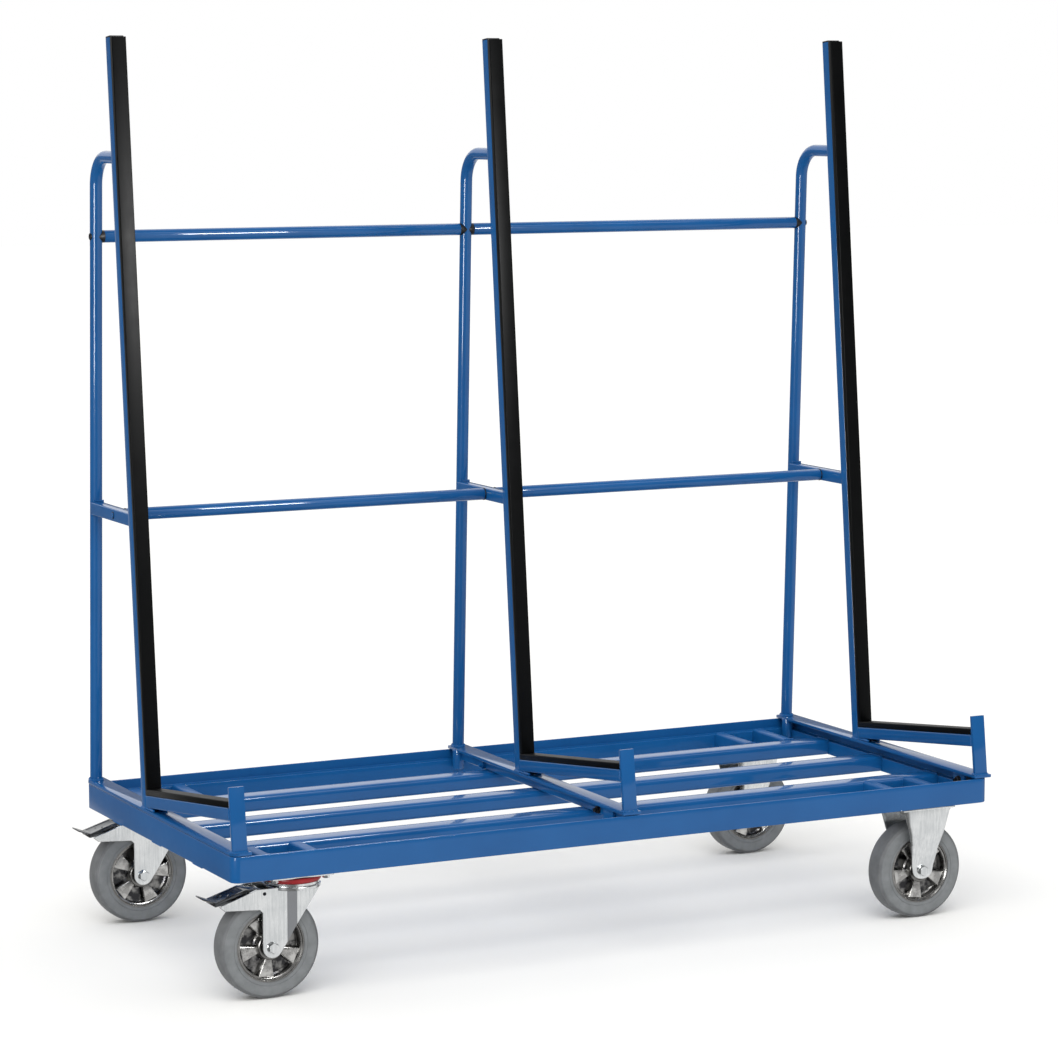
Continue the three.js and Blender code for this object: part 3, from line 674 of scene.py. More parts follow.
# %% Middle cross-member
low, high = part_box("mid_cross_member")
member = round_along(bar("mid_cross_member_tube", low, high), 1, 2.5, 3)
settle(member, blue.material, "frame", "blue_paint", "mid_cross_member")

# %% [markdown]
# ## The three supports
# The three supports are alike. A post leans back from a heel near the middle of the cart, and a toe
# reaches forward from the same heel. Their pieces are drawn upright and level about that heel,
# which is simpler than drawing them aslant, and are then tilted and set in place by two small
# helpers.

# %% Support sizes
LEAN, TIP = math.radians(5.7), math.radians(7.2)
HEEL_Y, HEEL_Z = 58.223 * MM, 320.3 * MM
BAR_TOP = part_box("middle_lean_post")[0].z - 0.3 * MM
FRAME_TOP = frame_high.z
support_x = {name: sum(v.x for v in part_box(name + "_lean_post")) / 2
             for name in ("left", "middle", "right")}


def leaned(piece, x):
    """Sets a piece drawn upright, with its heel at the origin, on a support."""
    return set_on(piece, (x, HEEL_Y, HEEL_Z), (-LEAN, 0, 0))


def tipped(piece, x):
    """The same for a piece of the toe, which tips up a little more than the post leans."""
    return set_on(piece, (x, HEEL_Y, HEEL_Z), (-TIP, 0, 0))


def saw_off_below(piece, z):
    """Cuts a piece level at a height and closes the cut."""
    pick(piece, "FACE", lambda place, way: True)
    bpy.ops.mesh.bisect(plane_co=(0, 0, z), plane_no=(0, 0, 1), clear_inner=True, use_fill=True)
    rest()
    return piece


print("supports at x =", {k: round(v, 3) for k, v in support_x.items()})

# %% [markdown]
# Bolts show at the lugs, the head plates and the axles. A six-sided cylinder is a hexagon already;
# its crown is bevelled and dished, as a forged head is, and a washer goes under it.

# %% Hexagon bolts
FLATS_PER_RADIUS = 1.732


def hex_bolt(flats, height, washer_radius, washer_thick):
    """A bolt head on its washer, along +Z from the origin, with its six corners turned off."""
    head = rod("head", mm(0, 0, washer_thick), mm(0, 0, washer_thick + height),
               flats / FLATS_PER_RADIUS * MM, 6)
    pick(head, "FACE", lambda place, way: way.z > 0.9)
    bpy.ops.mesh.bevel(offset=0.9 * MM, segments=1, affect="EDGES")
    bpy.ops.mesh.inset(thickness=0.8 * MM, depth=-0.3 * MM)
    rest()
    disc = rod("washer", (0, 0, 0), mm(0, 0, washer_thick), washer_radius * MM, 28)
    return together("bolt", head, soften(disc, 0.3, 1))


XPLUS, XMINUS = (0, math.pi / 2, 0), (0, -math.pi / 2, 0)
YPLUS, YMINUS = (-math.pi / 2, 0, 0), (math.pi / 2, 0, 0)
ZMINUS = (math.pi, 0, 0)
lug_bolt = hex_bolt(13, 5.5, 8.5, 1.5)
print("lug bolt:", len(lug_bolt.data.polygons), "faces")

# %% [markdown]
# Each support stands on a flat bar laid across the frame. A stop plate is welded upright at its
# front end, tilted like the toe that runs into it. Below, a lug at the front and a round stub at
# the rear hook the bar inside the frame, where a bolt holds it. A narrow dark joint stays open
# along the bar's edges, so the bar floats a little above the frame and a smaller packing fills the
# gap further in. The left-hand bar follows the rounding of the frame's corners.

# %% Base bars
BAR_LEFT, BAR_RIGHT, BAR_JOINT, PACKING_IN = 17, 23, 1.4, 6
STOP_FRONT, STOP_THICK, STOP_HALF, STOP_TOP, STOP_LOW = 449.2, 8, 15, 38.2, -100
LUG_THICK, LUG_FRONT, LUG_BACK, RAIL_GAP = 6, -0.350, -0.310, 20.3
STUB_R, STUB_Y, STUB_LOW, STUB_HIGH = 12.5, 362, 249, 290
lug_x = {"left": frame_low.x + RAIL_GAP * MM, "middle": support_x["middle"] - 14.3 * MM,
         "right": frame_high.x - (RAIL_GAP + LUG_THICK) * MM}
stub_off = {"left": 15, "middle": -10, "right": -10}


def stop_plate(x):
    """The upright plate at the toe's front end, sawn level just below the bar's top."""
    back = STOP_FRONT - STOP_THICK
    rise = [(STOP_FRONT, STOP_LOW), (STOP_FRONT, STOP_TOP), (back, STOP_TOP), (back, STOP_LOW)]
    stop = plate("stop", [mm(-STOP_HALF, -t, v) for t, v in rise], mm(2 * STOP_HALF, 0, 0))
    return saw_off_below(tipped(stop, x), BAR_TOP - MM)


def base_bar(name):
    """The flat bar of one support, with its stop, its hooks and the stop's welds."""
    node = name + "_base_bar"
    x = support_x[name]
    low = Vector((x - BAR_LEFT * MM, frame_low.y, FRAME_TOP))
    high = Vector((x + BAR_RIGHT * MM, frame_high.y, BAR_TOP))
    flat = bar("flat", low + mm(0, 0, BAR_JOINT), high)
    if name == "left":
        pick(flat, "EDGE", lambda place, way: abs(way.z) > 0.9 and place.x < x)
        bpy.ops.mesh.bevel(offset=FRAME_CORNER * MM, segments=8, affect="EDGES")
        rest()
    stop = stop_plate(x)
    packing = bar("packing", low + mm(PACKING_IN, PACKING_IN, 0),
                  high - mm(PACKING_IN, PACKING_IN, 2))
    lug = bar("lug", (lug_x[name], LUG_FRONT, FRAME_TOP - 40 * MM),
              (lug_x[name] + LUG_THICK * MM, LUG_BACK, BAR_TOP - 3 * MM))
    stub_x = x + stub_off[name] * MM
    stub = rod("stub", at(stub_x, STUB_Y, STUB_LOW), at(stub_x, STUB_Y, STUB_HIGH), STUB_R * MM, 36)
    body = together(node + "_flat", flat, stop, packing, lug, stub)
    soften(body, 0.9, 2)
    foot_y = frame_low.y + 2.2 * MM
    welds = [copy_of(bead(28, 3), (x - 14 * MM, y, BAR_TOP + 0.6 * MM))
             for y in (foot_y, foot_y + STOP_THICK * MM)]
    welds += [copy_of(bead(9, 3), (x + side * STOP_HALF * MM, foot_y, BAR_TOP + 0.8 * MM), ALONG_Y)
              for side in (-1, 1)]
    return settle(together(node + "_flat", body, *welds), blue.material, "frame", "blue_paint", node)


for name in support_x:
    base_bar(name)

# %% [markdown]
# The clamp bolts are seen from the side, as dark heads with the end of the thread standing out. One
# at the back of the middle member is painted over.

# %% Clamp bolts
MEMBER_BOLT_Z, LUG_BOLT_Z = 276.5, 272
clamp_bolt = together("clamp", lug_bolt, rod("tip", mm(0, 0, 6), mm(0, 0, 12), 3.6 * MM, 20))
member_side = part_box("mid_cross_member")[0].x
clamps = [copy_of(clamp_bolt, at(member_side, -279, MEMBER_BOLT_Z), XMINUS),
          copy_of(clamp_bolt, at(lug_x["right"], -330, LUG_BOLT_Z), XMINUS)]
settle(together("clamp_bolts", *clamps), dark_bolt.material, "frame", "zinc")
painted_clamp = copy_of(clamp_bolt, at(member_side, 240, MEMBER_BOLT_Z), XMINUS)
settle(together("painted_clamp_bolt", painted_clamp), dull_blue.material, "frame", "blue_paint")

# %% [markdown]
# The rear post is one round tube: it leans forward a little, then bends over a former into a level
# run that meets the lean post. A ring is pulled up along the lean, spun round the bend, and pulled
# forward. The square spreader half way up and the weld collars go into the same piece.

# %% Rear posts
TUBE, REAR_LEAN, BEND, RUN_Z, SPREAD_Z = 12.5, math.radians(2.2), 60, 1568, 857
SQUARE_HALF, POST_HALF, POST_DEEP = 12.5, 15, 25
DECK_Z, FOOT_Z, REAR_FOOT_Y, POST_FOOT_Y = 285, 293, 384, 54.7
POST_SEAMS, TUBE_SEAMS, COLLAR_SLICES = (-12.6, 12.6), (-12.6, 12.8, 15.4), 44


def rear_y(z):
    """Where the rear tube's middle is at a height, in millimetres."""
    return REAR_FOOT_Y - (z - DECK_Z) * math.tan(REAR_LEAN)


def post_back(z):
    """Where the lean post's rear face is at a height, in millimetres."""
    return POST_FOOT_Y + POST_DEEP / math.cos(LEAN) + (z - DECK_Z) * math.tan(LEAN)


def collar(radius, thick):
    """A weld run right round a tube, about Z at the origin, swelling at every other slice."""
    rest()
    bpy.ops.mesh.primitive_torus_add(major_radius=radius * MM, minor_radius=thick * MM,
                                     major_segments=COLLAR_SLICES, minor_segments=8)
    ring = bpy.context.object
    ripple = 2 * math.pi / COLLAR_SLICES
    pick(ring, "VERT", lambda place, way: round(math.atan2(place.y, place.x) / ripple) % 2 == 0)
    bpy.ops.transform.resize(value=(1, 1, 1.45))
    rest()
    return ring


def bent_tube(x):
    """The rear tube: up along its lean, round the bend, and forward into the lean post."""
    rest()
    foot = at(x, rear_y(BAR_TOP / MM), BAR_TOP / MM)
    bpy.ops.mesh.primitive_circle_add(vertices=36, radius=TUBE * MM, fill_type="NOTHING",
                                      location=foot, rotation=(REAR_LEAN, 0, 0))
    bpy.ops.object.transform_apply(location=True, rotation=True, scale=True)
    tube = bpy.context.object
    up = Vector((0, -math.sin(REAR_LEAN), math.cos(REAR_LEAN)))
    bend_angle = math.pi / 2 - REAR_LEAN
    start = at(x, rear_y(RUN_Z), RUN_Z) - up * (BEND * MM * math.tan(bend_angle / 2))
    hub = start + Vector((0, -up.z, up.y)) * BEND * MM
    bpy.ops.object.mode_set(mode="EDIT")
    bpy.ops.mesh.select_mode(type="VERT")
    bpy.ops.mesh.select_all(action="SELECT")
    bpy.ops.mesh.extrude_region_move(TRANSFORM_OT_translate={"value": start - foot})
    bpy.ops.mesh.spin(steps=14, angle=bend_angle, center=hub, axis=(-1, 0, 0))
    reach = post_back(RUN_Z) * MM - hub.y - 1.5 * MM
    bpy.ops.mesh.extrude_region_move(TRANSFORM_OT_translate={"value": (0, reach, 0)})
    close_outline()
    bpy.ops.mesh.normals_make_consistent(inside=False)
    rest()
    return tube


def spreader(x):
    """The square tube half way up, from just inside the lean post to the rear tube."""
    half = SQUARE_HALF * MM
    low = at(x - half, post_back(SPREAD_Z) - 2, SPREAD_Z - SQUARE_HALF)
    high = at(x + half, rear_y(SPREAD_Z), SPREAD_Z + SQUARE_HALF)
    return round_along(bar("spreader", low, high), 1, 2.2, 3)


for name, x in support_x.items():
    tube = bent_tube(x)
    square = spreader(x)
    foot_weld = set_on(collar(TUBE + 0.6, 3), (x, rear_y(FOOT_Z) * MM, BAR_TOP + 0.8 * MM),
                       (REAR_LEAN, 0, 0))
    top_weld = set_on(collar(TUBE + 0.2, 1.7), at(x, post_back(RUN_Z), RUN_Z),
                      (math.pi / 2 - LEAN, 0, 0))
    seams = [(post_back(SPREAD_Z), dz) for dz in POST_SEAMS]
    seams += [(rear_y(SPREAD_Z + dz) - TUBE + 1, dz) for dz in TUBE_SEAMS]
    square_welds = [copy_of(short_bead, at(x - 10.5 * MM, y, SPREAD_Z + dz), ALONG_X)
                    for y, dz in seams]
    post = together(name + "_brace_tube", tube, square, foot_weld, top_weld, *square_welds)
    settle(post, blue.material, "frame", "blue_paint", name + "_rear_post")

# %% [markdown]
# The lean post and the toe are the same small rectangular tube, drawn upright and level with the
# heel at the origin, then tilted. The post's foot is sawn level where it stands on the base bar,
# and a fat weld fills the narrow wedge that is left between the toe and the bar.

# %% Lean posts and toes
POST_TOP, TOE_LENGTH, TUBE_CORNER = 1491.07, 441.2, 3
WEDGE_BEADS, WEDGE_OUT, WEDGE_Z = ((36, 2.2), (15, 3.2)), 13.6, 292.6


def foot_welds(x):
    """Beads round the foot of a lean post, and the fat ones in the wedge under the toe."""
    weld_z = BAR_TOP + 0.6 * MM
    front_y, back_y = post_back(FOOT_Z) - 25.2, post_back(FOOT_Z)
    welds = [copy_of(bead(26, BEAD_R), (x - 13 * MM, y * MM, weld_z)) for y in (front_y, back_y)]
    welds += [copy_of(short_bead, (x + side * POST_HALF * MM, (front_y + 2) * MM, weld_z), ALONG_Y)
              for side in (-1, 1)]
    return welds + [
        copy_of(bead(22, thick), at(x + side * WEDGE_OUT * MM, y, WEDGE_Z + thick), ALONG_Y)
        for side in (-1, 1) for y, thick in WEDGE_BEADS]


for name, x in support_x.items():
    post = bar("post", mm(-POST_HALF, 0, -80), mm(POST_HALF, POST_DEEP, POST_TOP))
    round_along(post, 2, TUBE_CORNER, 4)
    saw_off_below(leaned(post, x), BAR_TOP + 0.3 * MM)
    welds = foot_welds(x)
    settle(together(name + "_lean_tube", post, *welds), blue.material, "frame", "blue_paint",
           name + "_lean_post")
    toe = bar("toe", mm(-POST_HALF, -TOE_LENGTH + 0.1, -POST_DEEP), mm(POST_HALF, -0.1, 0))
    round_along(toe, 1, TUBE_CORNER, 4)
    ends = [copy_of(short_bead, mm(side * 14.6, -TOE_LENGTH + 0.5, -23), ALONG_Z)
            for side in (-1, 1)]
    toe = tipped(together(name + "_toe_tube", toe, *ends), x)
    settle(toe, blue.material, "frame", "blue_paint", name + "_toe_bar")

# %% [markdown]
# The black strips are extruded rubber with chamfered edges, glued on. The post's strip stands on
# the toe's strip, and a thin black cap closes the top of the post.

# %% Rubber strips and caps
STRIP, CHAMFER, GLUE, CAP_THICK = 12, 1.2, 0.3, 3.3


def strip_section(outward):
    """Across and outward points of a strip, turned to face the front or up."""
    half, inner = POST_HALF, POST_HALF - CHAMFER
    rise = [(-half, GLUE), (half, GLUE), (half, STRIP - CHAMFER), (inner, STRIP), (-inner, STRIP),
            (-half, STRIP - CHAMFER)]
    return [outward(across, height) for across, height in rise]


for name, x in support_x.items():
    on_post = plate(name + "_post_strip", strip_section(lambda a, h: mm(a, -h, STRIP + 0.2)),
                    mm(0, 0, POST_TOP - STRIP - 0.2))
    soften(on_post, 0.4, 2, 20)
    settle(leaned(on_post, x), strip_black.material, "frame", "black_rubber", name + "_post_rubber")
    on_toe = plate(name + "_toe_strip", strip_section(lambda a, h: mm(a, -0.5, h)),
                   mm(0, 0.8 - TOE_LENGTH, 0))
    soften(on_toe, 0.4, 2, 20)
    settle(tipped(on_toe, x), strip_black.material, "frame", "black_rubber", name + "_toe_rubber")
    cap = bar(name + "_cap", mm(-POST_HALF, 0, POST_TOP),
              mm(POST_HALF, POST_DEEP, POST_TOP + CAP_THICK))
    round_along(cap, 2, TUBE_CORNER, 4)
    soften(cap, 0.8, 2)
    settle(leaned(cap, x), cap_black.material, "frame", "black_plastic", name + "_top_cap")

# %% [markdown]
# ## Tie rails
# Round tubes tie the supports together. The upper ones end in black plastic saddles that hug the
# rear posts, so each saddle is a short plug with the post's own tube cut out of its end. The lower
# ones butt against the spreaders with a thin black gasket.

# %% Rails, saddles and gaskets
UPPER_Z, MID_Y = 1408, 230
SADDLE_OUT, GASKET_OUT, GASKET_R = 15.8, 14.6, 13.2
CUT_LOW, CUT_HIGH, CUT_R = 1300, 1500, 12.7
upper_y = rear_y(UPPER_Z)


def level_rod(name, start_x, end_x, y, z, radius):
    """A round piece along X."""
    return rod(name, at(start_x, y, z), at(end_x, y, z), radius * MM)


def tie_rail(label, first, second, y, z, inset):
    """A tube between two supports that stops short of both by the inset."""
    start_x, end_x = support_x[first] + inset * MM, support_x[second] - inset * MM
    tube = soften(level_rod(f"{first}_{label}_tube", start_x, end_x, y, z, TUBE), 0.6, 2)
    settle(tube, blue.material, "frame", "blue_paint", f"{first}_{label}_rail")


for first, second in (("left", "middle"), ("middle", "right")):
    tie_rail("upper", first, second, upper_y, UPPER_Z, SADDLE_OUT)
    tie_rail("mid", first, second, MID_Y, SPREAD_Z, GASKET_OUT)
    for near, far, way in ((first, second, 1), (second, first, -1)):
        x = support_x[near]
        saddle = level_rod(f"{near}_{far}_plug", x + way * MM, x + way * SADDLE_OUT * MM,
                           upper_y, UPPER_Z, TUBE)
        post = rod("post", at(x, rear_y(CUT_LOW), CUT_LOW), at(x, rear_y(CUT_HIGH), CUT_HIGH),
                   CUT_R * MM, 48)
        soften(carve(saddle, post), 0.25, 2)
        settle(saddle, cap_black.material, "frame", "black_plastic", f"{near}_{far}_saddle")
        washer = level_rod(f"{near}_{far}_gasket", x + way * SQUARE_HALF * MM,
                           x + way * GASKET_OUT * MM, MID_Y, SPREAD_Z, GASKET_R)
        settle(soften(washer, 0.4, 2), cap_black.material, "frame", "black_plastic")

# %% [markdown]
# The bolts that hold the rails end in low round heads, on the outside of the end posts. The lower
# heads are painted over and sit on a dark washer.

# %% Round bolt heads
def round_head(radius, height):
    """A low dome along +Z, with a small pit in the middle."""
    head = rod("head", mm(0, 0, -3), mm(0, 0, height), radius * MM, 28)
    pick(head, "EDGE", lambda place, way: place.z > (height - 0.1) * MM)
    bpy.ops.mesh.bevel(offset=height * 0.8 * MM, segments=3, affect="EDGES")
    pick(head, "FACE", lambda place, way: way.z > 0.99 and place.z > (height - 0.1) * MM)
    bpy.ops.mesh.inset(thickness=radius * 0.3 * MM, depth=0)
    bpy.ops.mesh.inset(thickness=radius * 0.1 * MM, depth=-0.4 * MM)
    rest()
    return head


dark_heads, blue_heads = [], []
for name, way, turn in (("left", -1, XMINUS), ("right", 1, XPLUS)):
    x = support_x[name] + way * TUBE * MM
    dark_heads.append(copy_of(round_head(7, 1.0), at(x, upper_y, UPPER_Z), turn))
    dark_heads.append(copy_of(round_head(7.4, 0.7), at(x, MID_Y, SPREAD_Z), turn))
    blue_heads.append(copy_of(round_head(5.6, 2.2), at(x, MID_Y, SPREAD_Z), turn))
settle(together("rail_bolt_heads", *dark_heads), dark_bolt.material, "frame", "zinc")
settle(together("painted_bolt_heads", *blue_heads), blue.material, "frame", "blue_paint")

# %% [markdown]
# ## Wheels
# The tyre is moulded rubber with flat sides and a rounded shoulder. The rim is a casting: a hub, a
# thin web, a wall under the tyre and five broad spokes, each a little narrower at its face so that
# it comes out of the mould. Both are spun from half a section; one spoke is pushed out, tapered and
# copied round.

# %% Tyre and rim
WHEEL_R = 100
SPOKES, SPOKE_SPREAD, SPOKE_IN, SPOKE_OUT = 5, math.radians(18), 25, 62.5
SPOKE_DEEP, SPOKE_DRAFT = 18, 0.8


def both_halves(half):
    """A section given on the front half only, completed on the rear half."""
    return half + [(r, -y) for r, y in reversed(half)]


tyre_model = turned("tyre", both_halves([
    (70.3, -21.7), (70.3, -22.2), (68.3, -22.3), (68.6, -23.3), (71, -24.1), (74.2, -24.3),
    (75, -23.6), (75.8, -24.5), (80, -24.8), (85, -25), (90.2, -24.4), (91.8, -23.9),
    (92.4, -24.3), (93.2, -23.6), (97.6, -19.5), (98.5, -19.4), (98.9, -18.4), (99.4, -15),
    (99.9, -9)]), 96)
rim_model = turned("rim", both_halves([
    (6.1, -25), (12.5, -25), (13.2, -22.6), (19.6, -22.6), (20.4, -24.4), (24.4, -24.6),
    (25.6, -23.4), (27.6, -7), (30, -4.4), (56.5, -4.4), (59.6, -6.8), (61.2, -18.8),
    (62.4, -19.6), (64.6, -19.8), (66.2, -21.9), (69.4, -22), (70, -21.4)]), 72)


def spoke_half():
    """Front half of one spoke, along +X, narrower at its face."""
    corners = ((SPOKE_IN, -1), (SPOKE_OUT, -1), (SPOKE_OUT, 1), (SPOKE_IN, 1))
    outline = [mm(radius * math.cos(SPOKE_SPREAD), 0, side * radius * math.sin(SPOKE_SPREAD))
               for radius, side in corners]
    piece = plate("spoke", outline, mm(0, -SPOKE_DEEP, 0))
    pick(piece, "FACE", lambda place, way: way.y < -0.9)
    bpy.ops.transform.resize(value=(1, 1, SPOKE_DRAFT))
    rest()
    return soften(piece, 1.4, 3)


spoke = spoke_half()
spoke = together("spoke", spoke, copy_of(spoke, turn=(math.pi, 0, 0)))
star = [copy_of(spoke, turn=(0, k * 2 * math.pi / SPOKES, 0)) for k in range(1, SPOKES)]
rim_model = together("rim", rim_model, spoke, *star)
print("tyre", len(tyre_model.data.polygons), "faces; rim", len(rim_model.data.polygons), "faces")

# %% [markdown]
# The axle is a bolt through both cheeks, with a washer and a hexagon at each end and a spacer tube
# on either side of the hub.

# %% Axle
CHEEK_IN, CHEEK_OUT, HUB_SIDE, PIN_R, SPACER_R = 29, 33, 25.2, 6, 11
axle_head = hex_bolt(19, 5.8, 11.6, 1.2)
axle_model = together(
    "axle",
    rod("pin", mm(0, -CHEEK_OUT, 0), mm(0, CHEEK_OUT, 0), PIN_R * MM, 24),
    rod("front_spacer", mm(0, -CHEEK_IN + 0.2, 0), mm(0, -HUB_SIDE, 0), SPACER_R * MM, 32),
    rod("rear_spacer", mm(0, HUB_SIDE, 0), mm(0, CHEEK_IN - 0.2, 0), SPACER_R * MM, 32),
    copy_of(axle_head, mm(0, -CHEEK_OUT, 0), YMINUS),
    copy_of(axle_head, mm(0, CHEEK_OUT, 0), YPLUS))
print("axle", len(axle_model.data.polygons), "faces")

# %% [markdown]
# ## Fork and head of a swivel caster
# The fork is pressed from thick zinc-plated sheet. Its cheeks are flat, with a round boss at the
# axle, a wing that carries the pedal, and a vertical crease behind which the sheet steps inwards.
# The outline is drawn from the axle; the crease is made by cutting the sheet twice and moving the
# far side.

# %% Swivel fork
CROWN_LOW, CROWN_HIGH, CROWN_R = 208 - WHEEL_R, 214 - WHEEL_R, 54
BOSS_R, STEP_IN, PIVOT_R = 20, 3.3, 3.5


def arc(radius, start, end, steps):
    """Points of an arc about the origin, between two angles in degrees."""
    angles = [math.radians(start + (end - start) * k / steps) for k in range(steps + 1)]
    return [(radius * math.cos(angle), radius * math.sin(angle)) for angle in angles]


def tangent(point, radius):
    """Angle, in degrees, at which a line from a point touches a circle about the origin."""
    x, z = point
    return math.degrees(math.atan2(z, x) - math.acos(radius / math.hypot(x, z)))


def cheek_plate(name, outline, side):
    """A sheet outline about the axle, standing at one side of the wheel."""
    push = mm(0, side * (CHEEK_OUT - CHEEK_IN), 0)
    return plate(name, [mm(x, side * CHEEK_IN, z) for x, z in outline], push)


def crease(piece, push):
    """Two upright bends that step the sheet sideways."""
    for x in (CREASE_START, CREASE_END):
        pick(piece, "FACE", lambda place, way: True)
        bpy.ops.mesh.bisect(plane_co=mm(x, 0, 0), plane_no=(1, 0, 0))
    pick(piece, "VERT", lambda place, way: place.x > (CREASE_END - 0.2) * MM)
    bpy.ops.transform.translate(value=mm(0, push, 0))
    rest()
    return piece


wing = [(97, 106), (97, 114), (-31, 114), (-107, 88), (-96, 79), (-26, 74.5), (-20, 68.5)]
swivel_outline = arc(BOSS_R, 180, 360 + tangent(wing[0], BOSS_R), 14) + wing
cheeks = [crease(cheek_plate("cheek", swivel_outline, side), -side * STEP_IN) for side in (-1, 1)]
crown = rod("crown", mm(TRAIL, 0, CROWN_LOW), mm(TRAIL, 0, CROWN_HIGH), CROWN_R * MM, 96)
web = bar("web", mm(2, -CHEEK_IN - 0.5, CROWN_LOW), mm(96.5, CHEEK_IN + 0.5, CROWN_HIGH))
fork_model = soften(together("fork", *cheeks, web, crown), 0.8, 2, 40)
PIVOT, PIVOT_REACH = mm(-16, 0, 104.7), mm(0, CHEEK_OUT + 0.4, 0)
pivot_model = rod("pin", PIVOT - PIVOT_REACH, PIVOT + PIVOT_REACH, PIVOT_R * MM, 28)
soften(pivot_model, 0.4, 2)
print("swivel fork", len(fork_model.data.polygons), "faces")

# %% [markdown]
# The head plate is bolted under the frame. A turned race sits below it, then the red dust ring,
# then the fork's crown. The plate is a block with its corners bevelled; race and ring are spun from
# a section.

# %% Head plate, race and dust ring
PLATE_LOW, PLATE_HIGH, PLATE_HALF, RING_HIGH = 231, 235, 67.5, 230.7
SWIVEL_PLATE_HALF, FIXED_PLATE_HALF = 50, 55
KINGPIN_LOW, KINGPIN_R = 204, 11.8
plate_bolt = hex_bolt(13, 4.6, 8.2, 1.4)


def head_plate(half_width):
    """The bolted top plate, about the middle of the caster's mount."""
    low = mm(-PLATE_HALF, -half_width, PLATE_LOW)
    high = mm(PLATE_HALF, half_width, PLATE_HIGH)
    sheet = soften(round_along(bar("sheet", low, high), 2, 9, 5), 0.8, 2)
    bolts = [copy_of(plate_bolt, mm(x, y, PLATE_LOW), ZMINUS)
             for x in (-52.5, 52.5) for y in (-40, 40)]
    return together("head", sheet, *bolts)


race = turned("race", [(0, 0), (39.6, 0), (39.6, 9.6), (50.6, 9.6), (52, 10.8), (52, 15.2),
                       (50.8, 16.7), (0, 16.7)], 72)
set_on(race, mm(0, 0, PLATE_LOW), (-math.pi / 2, 0, 0))
kingpin = rod("kingpin", mm(0, 0, KINGPIN_LOW), mm(0, 0, PLATE_LOW), KINGPIN_R * MM, 32)
head_model = together("swivel_head", head_plate(SWIVEL_PLATE_HALF), race, kingpin)
ring_model = turned("dust_ring", [(40, 0.4), (52.6, 0), (54.4, 0.8), (55, 2.4), (55, 6.8),
                                  (54.2, 8.4), (52.4, 9), (40, 9)], 72)
set_on(ring_model, mm(0, 0, RING_HIGH), (-math.pi / 2, 0, 0))
print("head", len(head_model.data.polygons), "faces; ring", len(ring_model.data.polygons), "faces")

# %% [markdown]
# The brake pedal is a channel pressed from sheet, on a pin in the fork, with a panel sunk in its
# top and a thin tread plate that reaches out past it. Its side outline is pushed across to the full
# width, then hollowed from below by a second outline, so that the wall stays even.

# %% Brake pedal
PEDAL_HALF, TAB_HALF, SHEET_THICK = 23, 19, 2.5
PANEL_RIM, PANEL_DROP, PANEL_END = 5, 1.2, -60
pedal_edge = [(-95, -18)] + arc(4.8, -90, 90, 8) + [(-34, 9), (-95, -10)]
pedal_room = [(-92.5, -40), (-7, -40), (-7, 2.3), (-34, 6.2), (-92.5, -12)]
pedal_tab = [(-118, -3.5), (-94, -12.5), (-94, -10), (-118, -1)]


def across_pedal(name, points, half):
    """A side outline pushed across to its full width."""
    return plate(name, [mm(x, -half, z) for x, z in points], mm(0, 2 * half, 0))


channel = across_pedal("channel", pedal_edge, PEDAL_HALF)
pick(channel, "FACE", lambda place, way: way.z > 0.8 and place.x < PANEL_END * MM)
bpy.ops.mesh.inset(thickness=PANEL_RIM * MM, depth=0)
bpy.ops.mesh.inset(thickness=PANEL_DROP * MM, depth=-PANEL_DROP * MM)
rest()
carve(channel, across_pedal("room", pedal_room, PEDAL_HALF - SHEET_THICK))
studs = [soften(rod("stud", mm(x, y, z - 4), mm(x, y, z + 0.6), 2.6 * MM, 20), 0.5, 2)
         for x, y, z in ((-62, -6, -1.2), (-72, 7, -4.3))]
tab = across_pedal("tab", pedal_tab, TAB_HALF)
pedal_model = soften(together("pedal", channel, tab, *studs), 0.6, 2, 30)
print("pedal", len(pedal_model.data.polygons), "faces")

# %% [markdown]
# The fixed fork is one pressing with its plate. Each cheek slopes in from the plate's edge to the
# axle and tapers to a blunt end. Its long edges are folded back a little, to stiffen it, so the
# fold lines run down close to the edges. The flat outline is cut along both folds and across in
# bands, and the bands are moved out and their edges back, as the press would do it.

# %% Fixed fork
CHEEK_RISE = PLATE_HIGH - WHEEL_R
FOLD_TOP, FOLD_LOW, FOLD_BACK = 41, 19, 4.2
END_HALF, END_DEEP, KNEE, SHOULDER_X = 23.6, 17, (34.5, 56), 55.6
BAND_OUT = ((11, 0), (34, 5.8), (57, 11.5), (80, 17.3), (CHEEK_RISE, 22))


